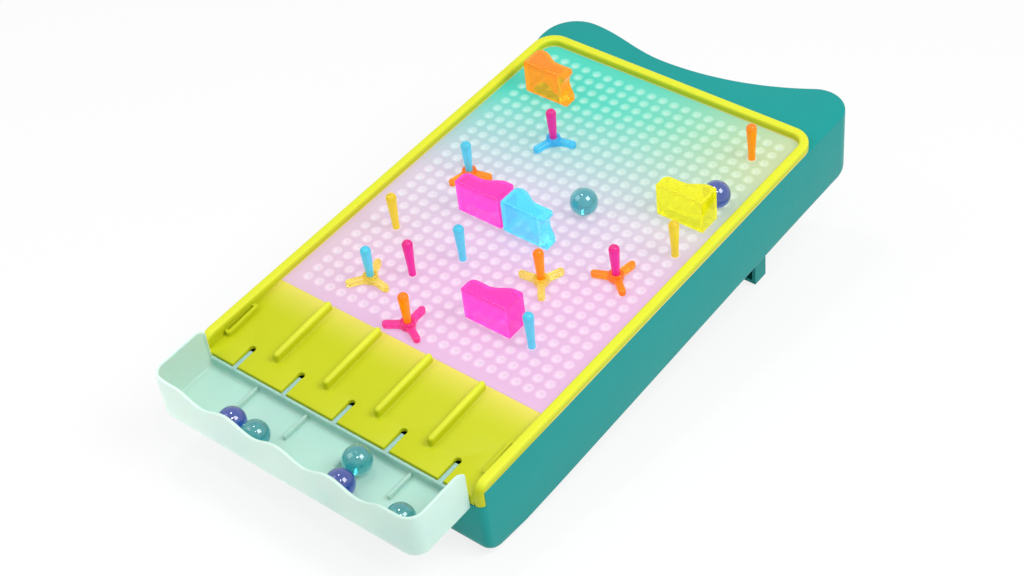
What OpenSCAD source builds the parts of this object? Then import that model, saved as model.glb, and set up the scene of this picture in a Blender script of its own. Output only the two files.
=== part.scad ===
// Light-up marble run: a tilted, back-lit peg board with a ramp and a hook-on marble tray.
// Pieces are drawn in board coordinates, where X runs across the board, Y runs from the ramp's front
// edge to the back, and Z stands on the panel's top face. on_board() then tilts them over the table.
// The origin is the middle of the front foot's sole, with +Z up and +Y to the back.

/* [Peg panel] */
// Distance between neighbouring holes
hole_pitch = 8; // [7.5:0.1:9]
// Holes across the panel
hole_cols = 21; // [21:2:25]
// Holes from the front to the back
hole_rows = 29; // [29:1:33]
// Diameter of each hole
hole_d = 3.4; // [3:0.1:4]
// Thickness of the panel
panel_t = 2.4; // [1.8:0.1:3]
// From the outer holes to the frame's side
side_margin = 10.5; // [9.5:0.5:14]
// From the outer holes to the frame's front and back
end_margin = 10; // [9:0.5:14]
// Depth of the ledge that carries the panel's edge
ledge_t = 3; // [2:0.1:4]

/* [Frame and ramp] */
// Tilt of the board on its stand, in degrees
tilt = 8.7; // [6:0.1:11]
// Width of the raised rim
rim_w = 5.5; // [5:0.1:8]
// Height of the rim above the panel
rim_h = 5.2; // [4:0.1:7]
// Radius of the frame's back corners
rim_back_r = 14; // [10:1:18]
// Radius of the frame's and the base's front corners
front_r = 4; // [4:1:12]
// Length of the ramp
ramp_l = 59.5; // [58:0.5:70]
// Drop of the ramp from the panel to the front edge
ramp_drop = 3.2; // [1.5:0.1:3.6]
// Thickness of the ramp
ramp_t = 2.4; // [2:0.1:3]
// Depth of the skirt's lower edge at the ramp's front
skirt_drop = 9.5; // [8.5:0.1:10.5]
// Thickness of the skirt
skirt_t = 3; // [2.8:0.1:4]
// Lanes on the ramp, one more than the ribs
lane_count = 5; // [3:1:6]
// From the frame to the outer lanes
lane_edge = 2.5; // [1:0.5:4]
// Length of each lane rib
rib_l = 45; // [36:0.5:45]
// Width of each lane rib
rib_w = 4; // [3:0.2:5]
// Height of each lane rib
rib_h = 5.6; // [4.5:0.1:6.5]
// From the ramp's front edge to the ribs
rib_front = 13; // [11:0.5:13]
// Length of the tray notches in the ramp
notch_l = 13.5; // [11:0.5:14]
// Width of the tray notches
notch_w = 3.6; // [3:0.1:4]

/* [Base] */
// Depth of the base below the panel's top face
base_depth = 50; // [48:1:60]
// Thickness of the base's walls, floor and deck
base_wall = 2.4; // [2:0.1:2.6]
// How far the base flares out on the left, behind the frame
base_flare = 5; // [3:0.5:8]
// Length of the eased stretch of the flare
flare_l = 24; // [16:1:40]
// Radius of the base's left back corner
base_back_r = 22; // [16:1:24]
// Radius of the base's right back corner
lobe_r = 18; // [14:1:24]
// Depth of the deck behind the frame, at the trough of its wavy back edge
deck_d = 16.5; // [16:0.5:24]
// Rise of the back edge from the trough to its left crest
deck_wave = 8.5; // [4:0.5:12]
// From the middle to the trough, towards the left
trough_left = 22; // [10:1:30]
// Radius of the sweep from the trough back to the right corner
sweep_r = 185; // [170:5:240]

/* [Stand and feet] */
// Width of the fold-out stand
stand_w = 158; // [120:1:160]
// Thickness of the stand
stand_t = 11; // [9:0.5:12]
// Wall of the hollow stand
stand_wall = 2.4; // [1.8:0.1:3]
// From the frame's back edge to the stand's hinge
stand_inset = 34; // [32:1:44]
// Room to reach the folded stand's end
finger_gap = 8; // [6:0.5:12]
// Diameter of the hinge pins
pin_d = 4; // [3:0.1:5]
// Length of each hinge pin
pin_l = 12; // [10:0.5:14]
// From the ramp's front edge to the middle of the front foot
foot_y = 16; // [14:1:22]
// Length of the front foot across the base
foot_l = 150; // [100:1:160]
// Width of the front foot
foot_w = 12; // [8:1:14]
// Thickness of the rubber feet at their middle
foot_t = 2.5; // [2:0.1:4]
// Length of each pad on the stand
pad_l = 34; // [20:1:50]
// From the stand's ends to the pads
pad_inset = 17; // [5:1:25]
// From the stand's faces to the pads
pad_edge = 1; // [0.5:0.1:2]

/* [Tray] */
// From the frame's sides to the tray's ends
tray_inset = 7; // [4:0.5:10]
// Depth of the tray from the ramp outwards
tray_d = 40; // [38:1:50]
// Floor of the tray below the panel's top face
tray_drop = 12; // [11.5:0.5:16]
// Height of the tray's end walls above the panel's top face
tray_end_h = 16.5; // [16.5:0.5:20]
// Height of the middle of the front wall's wavy rim
tray_rim_h = 13; // [9:0.5:13]
// Rise and fall of the wavy rim
tray_wave = 2.6; // [1:0.2:3]
// Wall of the tray
tray_wall = 2; // [1.6:0.1:2.4]
// Radius of the tray's front corners
tray_r = 9; // [5:1:12]
// Drop of the tray's back wall below the ramp's front edge
sill_drop = 1; // [0.5:0.1:1.5]
// Length of the lip that each hook drops behind the base's front wall
hook_lip = 4; // [3:0.5:6]
// Thickness of that lip
hook_t = 2.4; // [1.6:0.1:3]
// Width of the ridges on the tray's floor
divider_w = 1.6; // [1.2:0.1:2]
// Height of the ridges on the tray's floor
divider_h = 3; // [1.5:0.5:4]
// Length of the ridges on the tray's floor
divider_l = 19; // [14:0.5:19]

/* [Loose pieces] */
// Diameter of the marbles
marble_d = 16; // [13:0.5:16]
// Height of a peg above the panel
peg_h = 25; // [22:0.5:32]
// Diameter of a peg's round head
peg_head_d = 6.1; // [5:0.1:6.5]
// Overlap of a peg's foot on the edge of its hole
peg_lap = 0.4; // [0.15:0.05:0.5]
// Length of the plugs below the panel's top face
plug_l = 6; // [5:0.5:7]
// Reach of a spinner's arms from the peg
spinner_r = 14; // [11:0.5:14]
// Width of a spinner's arms
arm_w = 4; // [3.2:0.1:5]
// Thickness of a spinner's arms
arm_t = 3.6; // [2.8:0.1:4.2]
// Diameter of a spinner's hub
hub_d = 8.4; // [7.6:0.2:10]
// Height of a spinner's hub
hub_h = 4.7; // [4.3:0.1:5.5]
// Height of the blocks
block_h = 22; // [18:0.5:28]
// Depth of a block at its deep end
block_deep = 15; // [13:0.5:17]
// Depth of a block at its shallow end
block_shallow = 9.5; // [8.5:0.5:11]
// Width of the deep end
block_step = 4.6; // [4.2:0.2:6]
// Length of the slope between the two depths
block_run = 13.8; // [10:0.2:15]
// From a block's plugs to its ends
block_end = 3; // [2.5:0.1:3.6]
// From a block's plugs to its front face
block_front = 2; // [1.7:0.1:3]
// Wall of the hollow blocks
block_wall = 2; // [1.5:0.1:2.2]
// Radius of a block's round back corner
block_r = 4; // [2:0.5:5]
// Radius of a waisted block's corner at its shallow end
block_tip_r = 2.5; // [1:0.5:3]
// Depth of the waist drawn into a waisted block's shallow end
waist_d = 4; // [2:0.2:5]

/* [Light box] */
// Thickness of the circuit boards
board_t = 1.6; // [1:0.1:2]
// From the panel's top face down to the diffuser's top face
diffuser_drop = 10; // [8:0.5:11]
// Thickness of the diffuser
diffuser_t = 2; // [1:0.1:2.5]
// Depth of the reflector behind the diffuser
reflector_d = 9; // [7:0.5:10]
// Wall of the reflector
reflector_wall = 1; // [0.8:0.1:1.6]
// Gap from the light box to the frame's opening
light_inset = 3.5; // [3:0.5:6]
// Width of the light board
led_board_w = 140; // [130:1:150]
// From the light box's front to the light board
led_front = 11; // [8:1:14]
// From the light box's back to the light board
led_back = 3; // [1:0.5:4]
// Columns of lights
led_cols = 3; // [2:1:4]
// Rows of lights
led_rows = 6; // [4:1:8]
// Width of each light
led_w = 5; // [4:0.1:6]
// Height of each light
led_h = 2.2; // [1.8:0.1:3]
// Room round each light in the reflector
led_room = 2; // [1:0.5:3]
// Diameter of the posts under the light board
led_post_d = 6; // [5:0.5:7]
// From the light board's edges to its posts' middles
led_post_inset = 7; // [5:0.5:8]

/* [Power] */
// Diameter of a battery cell
cell_d = 14.4; // [13.8:0.1:14.6]
// Length of a battery cell
cell_l = 50.5; // [49:0.1:51]
// Number of cells
cell_count = 3; // [2:1:3]
// Gap on each side of a cell
cell_gap = 0.4; // [0.2:0.1:0.6]
// Length of a contact spring under load
spring_l = 2.5; // [2:0.1:3]
// Thickness of the contact plates
contact_t = 0.4; // [0.3:0.05:0.6]
// Width of the contact plates
contact_w = 8.6; // [7:0.1:10]
// Wall of the battery box
box_wall = 1.6; // [1.2:0.1:2]
// From the panel's front edge to the middle of the battery box
battery_inset = 66.5; // [60:0.5:70]
// Lip that the battery door rests on
door_lip = 2; // [1.5:0.1:3]
// Length of the door's screw tab
door_tab = 8; // [7:0.5:10]
// Diameter of the door's screw
door_screw_d = 2.4; // [2:0.1:3]
// Length of the door's screw
door_screw_l = 8; // [6:0.5:10]
// Wall of the boss round the door's screw
door_boss_wall = 1.8; // [1.2:0.1:2]
// From the battery box to the control board
board_gap = 12; // [8:1:13]
// Length of the control board
control_w = 50; // [40:1:60]
// Width of the control board
control_l = 35; // [30:1:36]
// Height of the posts under the control board
control_post_h = 3.6; // [3:0.1:4]
// Diameter of the posts under the control board
control_post_d = 4; // [3:0.1:5]
// Diameter of the leads
wire_d = 1.2; // [0.8:0.1:1.2]
// Length of the switch's body
switch_l = 16; // [15:0.5:20]
// Width of the switch's body
switch_w = 8; // [7:0.5:10]
// Height of the switch's body
switch_h = 5; // [5:0.1:7]
// Travel of the power switch
switch_travel = 4; // [3:0.1:5]
// Length of the switch knob
knob_l = 5; // [4:0.1:6]
// Width of the switch knob
knob_w = 4; // [3:0.1:4.5]
// How far the knob stands out of the base
knob_h = 1.5; // [1:0.1:2]

/* [Casing screws] */
// Distance between the screws
screw_pitch = 49; // [45:1:52]
// From the ramp's front edge to the screws
screw_y = 36; // [30:1:46]
// Diameter of a screw
screw_d = 3; // [2.5:0.1:3.5]
// Diameter of a screw's head
screw_head_d = 5.8; // [5:0.1:6.5]
// Height of a screw's head
screw_head_h = 2; // [1.5:0.1:2.5]
// Height of a screw's seat above the base's floor
screw_seat = 3.6; // [3:0.1:5]
// Depth of the screw tips below the panel's top face
screw_tip = 12; // [9:0.5:14]
// Diameter of the frame's screw posts
post_d = 6.8; // [6:0.1:8]
// Depth below the panel's top face at which the posts meet
post_split = 22; // [18:0.5:26]

/* [Clearances] */
// Gap round a plug in its hole, and round turning parts
run_gap = 0.08; // [0.03:0.01:0.1]
// Gap between pieces that lift out or slide
slip_gap = 0.3; // [0.2:0.05:0.4]
// Gap under a piece that rests on another
rest_gap = 0.1; // [0.05:0.05:0.15]

/* [Hidden] */
$fn = 48;
cut = 0.5;
far = 500;
small_r = 1;

// Colours
LIME = "#d6df2a";
TEAL = "#3ba29d";
FROST = "#c6e6da";
CYAN = "#4fcbe2";
MAGENTA = "#ee2d86";
ORANGE = "#fb8c00";
YELLOW = "#ecd93c";
PINK = "#fb50cf";
NAVY = "#283c8c";
SEA = "#2f93a0";
RUBBER = "#3a3d40";
STEEL = "#b9bcc0";

// Panel and frame
open_w = (hole_cols - 1) * hole_pitch + 2 * side_margin;
open_l = (hole_rows - 1) * hole_pitch + 2 * end_margin;
frame_w = open_w + 2 * rim_w;
frame_l = ramp_l + open_l + rim_w;
well_w = frame_w - 2 * base_wall;
well_back = frame_l - base_wall;
well_back_r = rim_back_r - base_wall;
well_front_r = front_r - base_wall;
insert_w = well_w - 2 * slip_gap;
deck_y = frame_l + deck_d;
flare_y = frame_l - flare_l;
lane_pitch = (open_w - 2 * lane_edge) / lane_count;
function hole_x(col) = (col - (hole_cols - 1) / 2) * hole_pitch;
function hole_y(row) = ramp_l + end_margin + row * hole_pitch;
function lane_x(lane) = (lane - (lane_count - 1) / 2) * lane_pitch;
function ramp_z(y) = -ramp_drop * (1 - y / ramp_l);

// Half-ribs and slots beside the frame, on the ramp
side_rib_w = 2.2;
side_rib_h = 3;
side_rib_l = 24;
side_slot_w = 1.6;
side_slot_l = 20;
side_slot_edge = 1.2;
side_slot_x = open_w / 2 - side_slot_edge;
side_rib_x = side_slot_x - (side_slot_w + side_rib_w) / 2;

// Place of the tilted board over the table
sole_z = base_depth + foot_t;
board_y0 = -foot_y * cos(tilt) - sole_z * sin(tilt);
board_z0 = sole_z * cos(tilt) - foot_y * sin(tilt);
floor_z = base_wall - base_depth;

// Stand and its bay
stand_y = frame_l - stand_inset;
stand_z = stand_t / 2 + rest_gap + slip_gap - base_depth;
stand_axis_h = stand_y * sin(tilt) + stand_z * cos(tilt) + board_z0;
stand_l = (stand_axis_h - foot_t) / cos(tilt);
stand_ribs = 3;
bay_front = stand_y - stand_l - foot_t - finger_gap;
bay_back = stand_y + stand_t / 2 + slip_gap;
bay_w = stand_w + 2 * slip_gap;
bay_roof = stand_z + stand_t / 2 + slip_gap;

// Light box
reflector_top = -diffuser_drop - diffuser_t;
reflector_z = reflector_top - reflector_d;
led_board_z = reflector_z - board_t;
light_w = open_w - 2 * light_inset;
light_front = ramp_l + light_inset;
light_back = frame_l - rim_w - light_inset;
led_board_front = light_front + led_front;
led_board_back = light_back - led_back;
led_post_x = led_board_w / 2 - led_post_inset;
led_post_ys = [led_board_front + led_post_inset, bay_front - 4 * base_wall, led_board_back - led_post_inset];
led_step_x = led_board_w / led_cols;
led_step_y = (led_board_back - led_board_front) / led_rows;
LED_SPOTS = [
    for (i = [0 : led_cols - 1], j = [0 : led_rows - 1])
        [(i + 0.5) * led_step_x - led_board_w / 2, led_board_front + (j + 0.5) * led_step_y]
];

// Battery box and door
battery_y = ramp_l + battery_inset;
cell_pitch = cell_d + 2 * cell_gap;
cells_w = cell_count * cell_pitch;
cells_l = cell_l + spring_l + 2 * contact_t;
cell_nub_l = 1.2;
cell_nub_d = 5.5;
box_l = cells_l + 2 * box_wall;
box_w = cells_w + 2 * box_wall;
box_h = cell_d + 2 * cell_gap + rest_gap + box_wall;
cell_z = floor_z + rest_gap + cell_d / 2;
door_t = base_wall / 2;
door_w = cells_w + 2 * door_lip;
door_l = cells_l + 2 * door_lip + door_tab;
door_x0 = -cells_l / 2 - door_lip;
door_screw_x = cells_l / 2 + door_lip + door_tab / 2;
door_head_d = 2 * door_screw_d;
door_head_h = 1.4;
function cell_y(i) = battery_y + (i - (cell_count - 1) / 2) * cell_pitch;
function cell_side(i) = i % 2 == 0 ? 1 : -1;

// Switch, control board and leads
switch_x = box_l / 2 + door_tab + switch_l;
knob_top = switch_h / 2;
control_y = battery_y + box_w / 2 + board_gap;
control_z = floor_z + control_post_h;
wire_z = control_z + board_t / 2;
lead_xs = [-12, -8];

// Tray
tray_w = frame_w - 2 * tray_inset;
tray_back_y = -slip_gap;
tray_front_y = tray_back_y - tray_d;
sill_z = -ramp_drop - sill_drop;
wall_top_z = -skirt_drop - rest_gap;
hook_w = notch_w - 2 * slip_gap;
hook_y = base_wall + slip_gap;

// Plugs, spinners and blocks
plug_d = hole_d - 2 * run_gap;
plug_root = 1;
peg_foot_d = hole_d + 2 * peg_lap;
peg_step_z = slip_gap + hub_h + slip_gap;
plug_span = 3 * hole_pitch;
block_half = plug_span / 2 + block_end;
waist_r = block_h / 2;

// Each peg: hole column, hole row, colour, then its spinner's colour and turn, if it carries one
PEGS = [
    [6, 20, MAGENTA, CYAN, 13],
    [3, 14, CYAN, ORANGE, 14],
    [2, 7, YELLOW],
    [8, 7, CYAN],
    [6, 4, MAGENTA],
    [4, 2, CYAN, YELLOW, -8],
    [9, 0, ORANGE, PINK, -28],
    [14, 8, ORANGE, YELLOW, 67],
    [18, 11, MAGENTA, ORANGE, 81],
    [17, 3, CYAN],
    [20, 15, YELLOW],
    [19, 26, ORANGE]
];
SPUN = [for (i = [0 : len(PEGS) - 1]) if (len(PEGS[i]) > 3) i];

// Each block: left plug's hole column, its row, colour, and whether it is of the waisted kind, which
// has its deep end on the left
BLOCKS = [
    [5, 11, PINK, false],
    [12, 3, PINK, false],
    [17, 18, YELLOW, false],
    [9, 11, CYAN, true],
    [1, 24, ORANGE, true]
];

// Each marble: its middle and its colour, first the five in the tray, then the two on the board
marble_r = marble_d / 2;
marble_step = marble_d + slip_gap;
tray_marble_y = tray_front_y + tray_wall + marble_r + rest_gap;
tray_marble_z = -tray_drop + tray_wall + marble_r + rest_gap;
board_marble_z = marble_r + rest_gap;
pair_x = lane_x(1) - marble_r;
pile_x = lane_x(3) - marble_r / 2;
pile_turn = 100;
caught_col = 19.6;
caught_row = BLOCKS[2][1];
free_col = 12.3;
free_row = 15.2;
caught_x = hole_x(caught_col);
caught_y = hole_y(caught_row) + block_deep - block_front + marble_r + rest_gap;
MARBLES = [
    [[pair_x, tray_marble_y, tray_marble_z], NAVY],
    [[pair_x + marble_step, tray_marble_y, tray_marble_z], SEA],
    [[pile_x, tray_marble_y, tray_marble_z] + marble_step * [cos(pile_turn), sin(pile_turn), 0], SEA],
    [[pile_x, tray_marble_y, tray_marble_z], NAVY],
    [[lane_x(4), tray_marble_y, tray_marble_z], SEA],
    [[caught_x, caught_y, board_marble_z], NAVY],
    [[hole_x(free_col), hole_y(free_row), board_marble_z], SEA]
];

// Shared shapes

// Tilts board coordinates over the table
module on_board() {
    translate([0, board_y0, board_z0]) rotate([tilt, 0, 0]) children();
}

// Waste at a square corner of radius r, whose inside lies towards -X and -Y
module corner_waste(r) {
    translate([-r, -r]) difference() {
        square(r + cut);
        circle(r);
    }
}

// Plate from y0 to y1 with its own front and back corner radii
module round_plate(w, y0, y1, r0, r1) {
    difference() {
        translate([-w / 2, y0]) square([w, y1 - y0]);
        for (side = [0, 1]) mirror([side, 0]) {
            translate([w / 2, y1]) corner_waste(r1);
            translate([w / 2, y0]) mirror([0, 1]) corner_waste(r0);
        }
    }
}

// Box centred on X, from y0 to y1 and from z0 to z1
module bar(w, y0, y1, z0, z1) {
    translate([-w / 2, y0, z0]) cube([w, y1 - y0, z1 - z0]);
}

// Outline in Y and Z carried across the board
module across(w) {
    rotate([90, 0, 90]) translate([0, 0, -w / 2]) linear_extrude(w) children();
}

module at_screws(z) {
    for (i = [-1.5 : 1.5]) translate([i * screw_pitch, screw_y, z]) children();
}

// Base

function arc_points(middle, r, from, to) =
    [for (a = [from : 10 : to]) middle + r * [cos(a), sin(a)]];
function mirrored(points) =
    [for (i = [len(points) - 1 : -1 : 0]) [-points[i][0], points[i][1]]];
// Flare of the sides, eased in over its stretch
function flare_at(t) = base_flare * (1 - cos(180 * t)) / 2;
// Back edge left of the trough, by the share of the way to the left crest: half a cosine
function wave_at(t) = deck_wave * (1 - cos(180 * t)) / 2;

// Left-hand side behind the flare's start, from the back corner forwards, set in by an inset
function left_points(inset) =
    let (half = frame_w / 2, wide = half + base_flare, r = base_back_r, crest = deck_y + deck_wave)
    mirrored(concat(
        [for (t = [0 : 0.125 : 1]) [half - inset + flare_at(t), flare_y + flare_l * t]],
        arc_points([wide - r, crest - r], r - inset, 0, 90)
    ));
// Right-hand side: straight to the lobe's corner, round it, and along the hollow sweep to the trough
function right_points(inset) =
    let (half = frame_w / 2, swing = lobe_r + sweep_r, across = half - lobe_r + trough_left,
         lean = asin(across / swing), hub_y = deck_y + sweep_r - swing * cos(lean))
    concat(
        [[half - inset, flare_y]],
        [for (t = [0 : 0.1 : 1]) let (a = (90 + lean) * t)
            [half - lobe_r, hub_y] + (lobe_r - inset) * [cos(a), sin(a)]],
        [for (t = [0.9 : -0.1 : 0]) [-trough_left, deck_y + sweep_r]
            + (sweep_r + inset) * [sin(lean * t), -cos(lean * t)]]
    );
function back_outline(inset) =
    let (end = frame_w / 2 + base_flare - base_back_r, run = end - trough_left)
    concat(
        right_points(inset),
        [for (t = [0.05 : 0.05 : 0.95]) [-trough_left - run * t, deck_y + wave_at(t) - inset]],
        left_points(inset)
    );

// Plan of the base: straight sides with round front corners, then the flared and wavy back
module base_plan(inset) {
    half = frame_w / 2 - inset;
    difference() {
        translate([-half, inset]) square([2 * half, flare_y + cut - inset]);
        for (side = [0, 1]) mirror([side, 0]) translate([half, inset]) mirror([0, 1])
            corner_waste(front_r - inset);
    }
    polygon(back_outline(inset));
}

// Ledge under the panel's edge, hung from the deck and the side walls
module panel_ledge() {
    reach = base_wall / 2;
    translate([0, 0, -panel_t - ledge_t]) {
        linear_extrude(ledge_t) difference() {
            round_plate(well_w + 2 * reach, ramp_l, well_back + reach, small_r, well_back_r + reach);
            round_plate(open_w, ramp_l - cut, frame_l - rim_w, small_r, rim_back_r - rim_w);
        }
        linear_extrude(ledge_t + panel_t - cut) difference() {
            round_plate(well_w + 2 * reach, ramp_l, well_back + reach, small_r, well_back_r + reach);
            round_plate(well_w, ramp_l - cut, well_back, small_r, well_back_r);
        }
    }
}

// Wall across the base, under the panel's front edge
module cross_wall() {
    bar(well_w + base_wall, ramp_l, ramp_l + base_wall, floor_z - cut, -panel_t);
}

module stand_bay(grow, below) {
    bar(bay_w + 2 * grow, bay_front - grow, bay_back + grow, -base_depth - below, bay_roof + grow);
}

module base_posts() {
    at_screws(-base_depth) cylinder(d = post_d + base_wall, h = base_depth - post_split);
    for (x = [-1, 1] * led_post_x, y = led_post_ys)
        translate([x, y, -base_depth]) cylinder(d = led_post_d, h = base_depth + led_board_z);
    for (x = [control_post_d, control_w - control_post_d], y = [control_post_d, control_l - control_post_d])
        translate([-x, control_y + y, -base_depth]) cylinder(d = control_post_d, h = base_depth + control_z);
    translate([door_screw_x, battery_y, -base_depth])
        cylinder(d = door_screw_d + 2 * door_boss_wall, h = base_wall + door_screw_l);
}

// Slot that the switch knob travels in, round the middle of its travel
module knob_slot(z0, z1) {
    bar(switch_travel + knob_l + 2 * slip_gap, -knob_w / 2 - slip_gap, knob_w / 2 + slip_gap, z0, z1);
}

module base_holes() {
    at_screws(-base_depth - cut) {
        cylinder(d = screw_d + 2 * slip_gap, h = base_depth);
        cylinder(d = screw_head_d + 2 * slip_gap, h = base_wall + screw_seat + cut);
    }
    translate([0, battery_y, -base_depth]) {
        bar(cells_l, -cells_w / 2, cells_w / 2, -cut, base_wall + cut);
        translate([door_x0, -door_w / 2, -cut]) cube([door_l, door_w, door_t + cut]);
        translate([door_screw_x, 0, 0])
            cylinder(d = door_screw_d + 2 * run_gap, h = base_wall + door_screw_l + cut);
        translate([switch_x - switch_travel / 2, 0, 0]) knob_slot(-cut, base_wall + cut);
    }
    translate([0, stand_y, stand_z]) rotate([0, 90, 0]) cylinder(d = pin_d, h = bay_w + pin_l, center = true);
}

module base_shell() {
    color(TEAL) on_board() difference() {
        union() {
            difference() {
                translate([0, 0, -base_depth]) linear_extrude(base_depth) base_plan(0);
                translate([0, 0, floor_z]) linear_extrude(base_depth - 2 * base_wall) base_plan(base_wall);
                translate([0, 0, -base_wall - cut]) linear_extrude(base_wall + 2 * cut)
                    round_plate(well_w, base_wall, well_back, well_front_r, well_back_r);
                bar(far, -far, skirt_t + slip_gap, wall_top_z, cut);
            }
            panel_ledge();
            cross_wall();
            stand_bay(base_wall, 0);
            base_posts();
        }
        stand_bay(0, cut);
        base_holes();
    }
}

// Frame and ramp, one moulding

module frame_plan() {
    round_plate(frame_w, 0, frame_l, front_r, rim_back_r);
}

module rim_plan() {
    difference() {
        frame_plan();
        round_plate(open_w, -frame_l, frame_l - rim_w, small_r, rim_back_r - rim_w);
    }
}

module nose_plan() {
    intersection() {
        frame_plan();
        translate([-frame_w / 2, 0]) square([frame_w, skirt_t]);
    }
}

// The ramp drops into the base's well, and its nose covers the front wall
module ramp_plan() {
    nose_plan();
    round_plate(insert_w, base_wall + slip_gap, ramp_l, well_front_r, small_r);
}

module on_ramp(y) {
    translate([0, y, ramp_z(y)]) rotate([atan(ramp_drop / ramp_l), 0, 0]) children();
}

// Rib with a round back and round ends, standing on the ramp
module lane_rib() {
    rise = rib_h - rib_w / 2;
    ends = [rib_w / 2, rib_l - rib_w / 2];
    bar(rib_w, ends[0], ends[1], 0, rise);
    translate([0, ends[0], rise]) rotate([-90, 0, 0]) cylinder(d = rib_w, h = rib_l - rib_w);
    for (y = ends) translate([0, y, 0]) {
        translate([0, 0, rise]) sphere(d = rib_w);
        cylinder(d = rib_w, h = rise);
    }
}

module ramp_body() {
    low = ramp_drop + ramp_t;
    linear_extrude(rim_h) rim_plan();
    intersection() {
        translate([0, 0, -low]) linear_extrude(low) ramp_plan();
        across(far) polygon([[0, -ramp_drop], [ramp_l, 0], [ramp_l, -ramp_t], [0, -low]]);
    }
    translate([0, 0, -low]) linear_extrude(low + cut) difference() {
        ramp_plan();
        translate([-open_w / 2, -cut]) square([open_w, ramp_l + 2 * cut]);
    }
    translate([0, 0, -skirt_drop]) linear_extrude(skirt_drop - ramp_drop - ramp_t / 2) nose_plan();
    at_screws(-post_split) cylinder(d = post_d, h = post_split + ramp_z(screw_y) - ramp_t / 2);
}

// Waste that rounds the rim down to the ramp's front edge
module nose_waste() {
    r = rim_h + ramp_drop;
    across(far) translate([r, -ramp_drop]) difference() {
        translate([-r - cut, 0]) square(r + cut);
        circle(r);
    }
}

module bezel_ramp() {
    color(LIME) on_board() difference() {
        ramp_body();
        nose_waste();
        for (i = [0 : lane_count - 1]) translate([lane_x(i), 0, -skirt_drop - cut]) {
            bar(notch_w, -cut, notch_l, 0, skirt_drop + cut);
            translate([0, notch_l, 0]) cylinder(d = notch_w + 2 * slip_gap, h = skirt_drop + cut);
        }
        for (side = [-1, 1]) translate([side * side_slot_x, rib_front + (side_rib_l - side_slot_l) / 2, 0])
            bar(side_slot_w, 0, side_slot_l, -skirt_drop, cut);
        at_screws(-post_split - cut)
            cylinder(d = screw_d + 2 * run_gap, h = post_split - screw_tip + 2 * cut);
    }
}

// Ribs of the same moulding, which meet the ramp face to face
module lane_ribs() {
    color(LIME) on_board() {
        for (i = [0 : lane_count - 2]) translate([lane_x(i + 0.5), 0, 0]) on_ramp(rib_front) lane_rib();
        for (side = [-1, 1]) translate([side * side_rib_x, 0, 0]) on_ramp(rib_front)
            bar(side_rib_w, 0, side_rib_l, 0, side_rib_h);
    }
}

// Light box

module light_panel() {
    color("lavenderblush") on_board() translate([0, 0, -panel_t]) linear_extrude(panel_t) difference() {
        round_plate(insert_w, ramp_l + slip_gap, well_back - slip_gap, small_r, well_back_r);
        for (col = [0 : hole_cols - 1], row = [0 : hole_rows - 1])
            translate([hole_x(col), hole_y(row)]) circle(d = hole_d);
    }
}

module diffuser_sheet() {
    color("white") on_board() bar(light_w, light_front, light_back, reflector_top, -diffuser_drop);
}

module reflector() {
    window = led_w + 2 * led_room;
    color("whitesmoke") on_board() difference() {
        bar(light_w, light_front, light_back, reflector_z, reflector_top);
        bar(light_w - 2 * reflector_wall, light_front + reflector_wall, light_back - reflector_wall,
            reflector_z + reflector_wall, reflector_top + cut);
        for (spot = LED_SPOTS) translate([spot[0], spot[1], reflector_z])
            bar(window, -window / 2, window / 2, -cut, reflector_wall + cut);
    }
}

module led_board() {
    color("seagreen") on_board() bar(led_board_w, led_board_front, led_board_back, led_board_z, reflector_z);
}

// Each light is a square body with a round lens
module leds() {
    color("ivory") on_board() for (spot = LED_SPOTS) translate([spot[0], spot[1], reflector_z]) {
        bar(led_w, -led_w / 2, led_w / 2, 0, led_h / 2);
        cylinder(d = led_w - small_r, h = led_h);
    }
}

// Supply and control

module control_board() {
    chip = [12, 9, 2];
    can_d = 6;
    can_h = 8;
    color("seagreen") on_board() translate([0, control_y, control_z]) {
        translate([-control_w, 0, 0]) cube([control_w, control_l, board_t]);
        translate([-control_w / 2, control_l / 3, board_t / 2]) cube(chip);
        translate([-2 * can_d, control_l - can_d, board_t / 2]) cylinder(d = can_d, h = can_h);
    }
}

module battery_box() {
    color("dimgray") on_board() translate([0, battery_y, floor_z]) difference() {
        bar(box_l, -box_w / 2, box_w / 2, 0, box_h);
        bar(cells_l, -cells_w / 2, cells_w / 2, -cut, box_h - box_wall);
    }
}

// Cells lie side by side, turned end for end
module batteries() {
    color(STEEL) on_board() for (i = [0 : cell_count - 1])
        translate([cell_side(i) * spring_l / 2, cell_y(i), cell_z]) rotate([0, cell_side(i) * 90, 0])
            translate([0, 0, -cell_l / 2]) {
                cylinder(d = cell_d, h = cell_l - cell_nub_l);
                cylinder(d = cell_nub_d, h = cell_l);
            }
}

// Flat contacts on both ends, with a coned spring at each cell's tail
module battery_contacts() {
    color("goldenrod") on_board() for (i = [0 : cell_count - 1], side = [-1, 1])
        translate([side * (cells_l - contact_t) / 2, cell_y(i), cell_z]) {
            cube([contact_t, contact_w, contact_w], center = true);
            if (side != cell_side(i)) rotate([0, -side * 90, 0])
                cylinder(d1 = contact_w, d2 = contact_w / 2, h = spring_l + contact_t / 2);
        }
}

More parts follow.
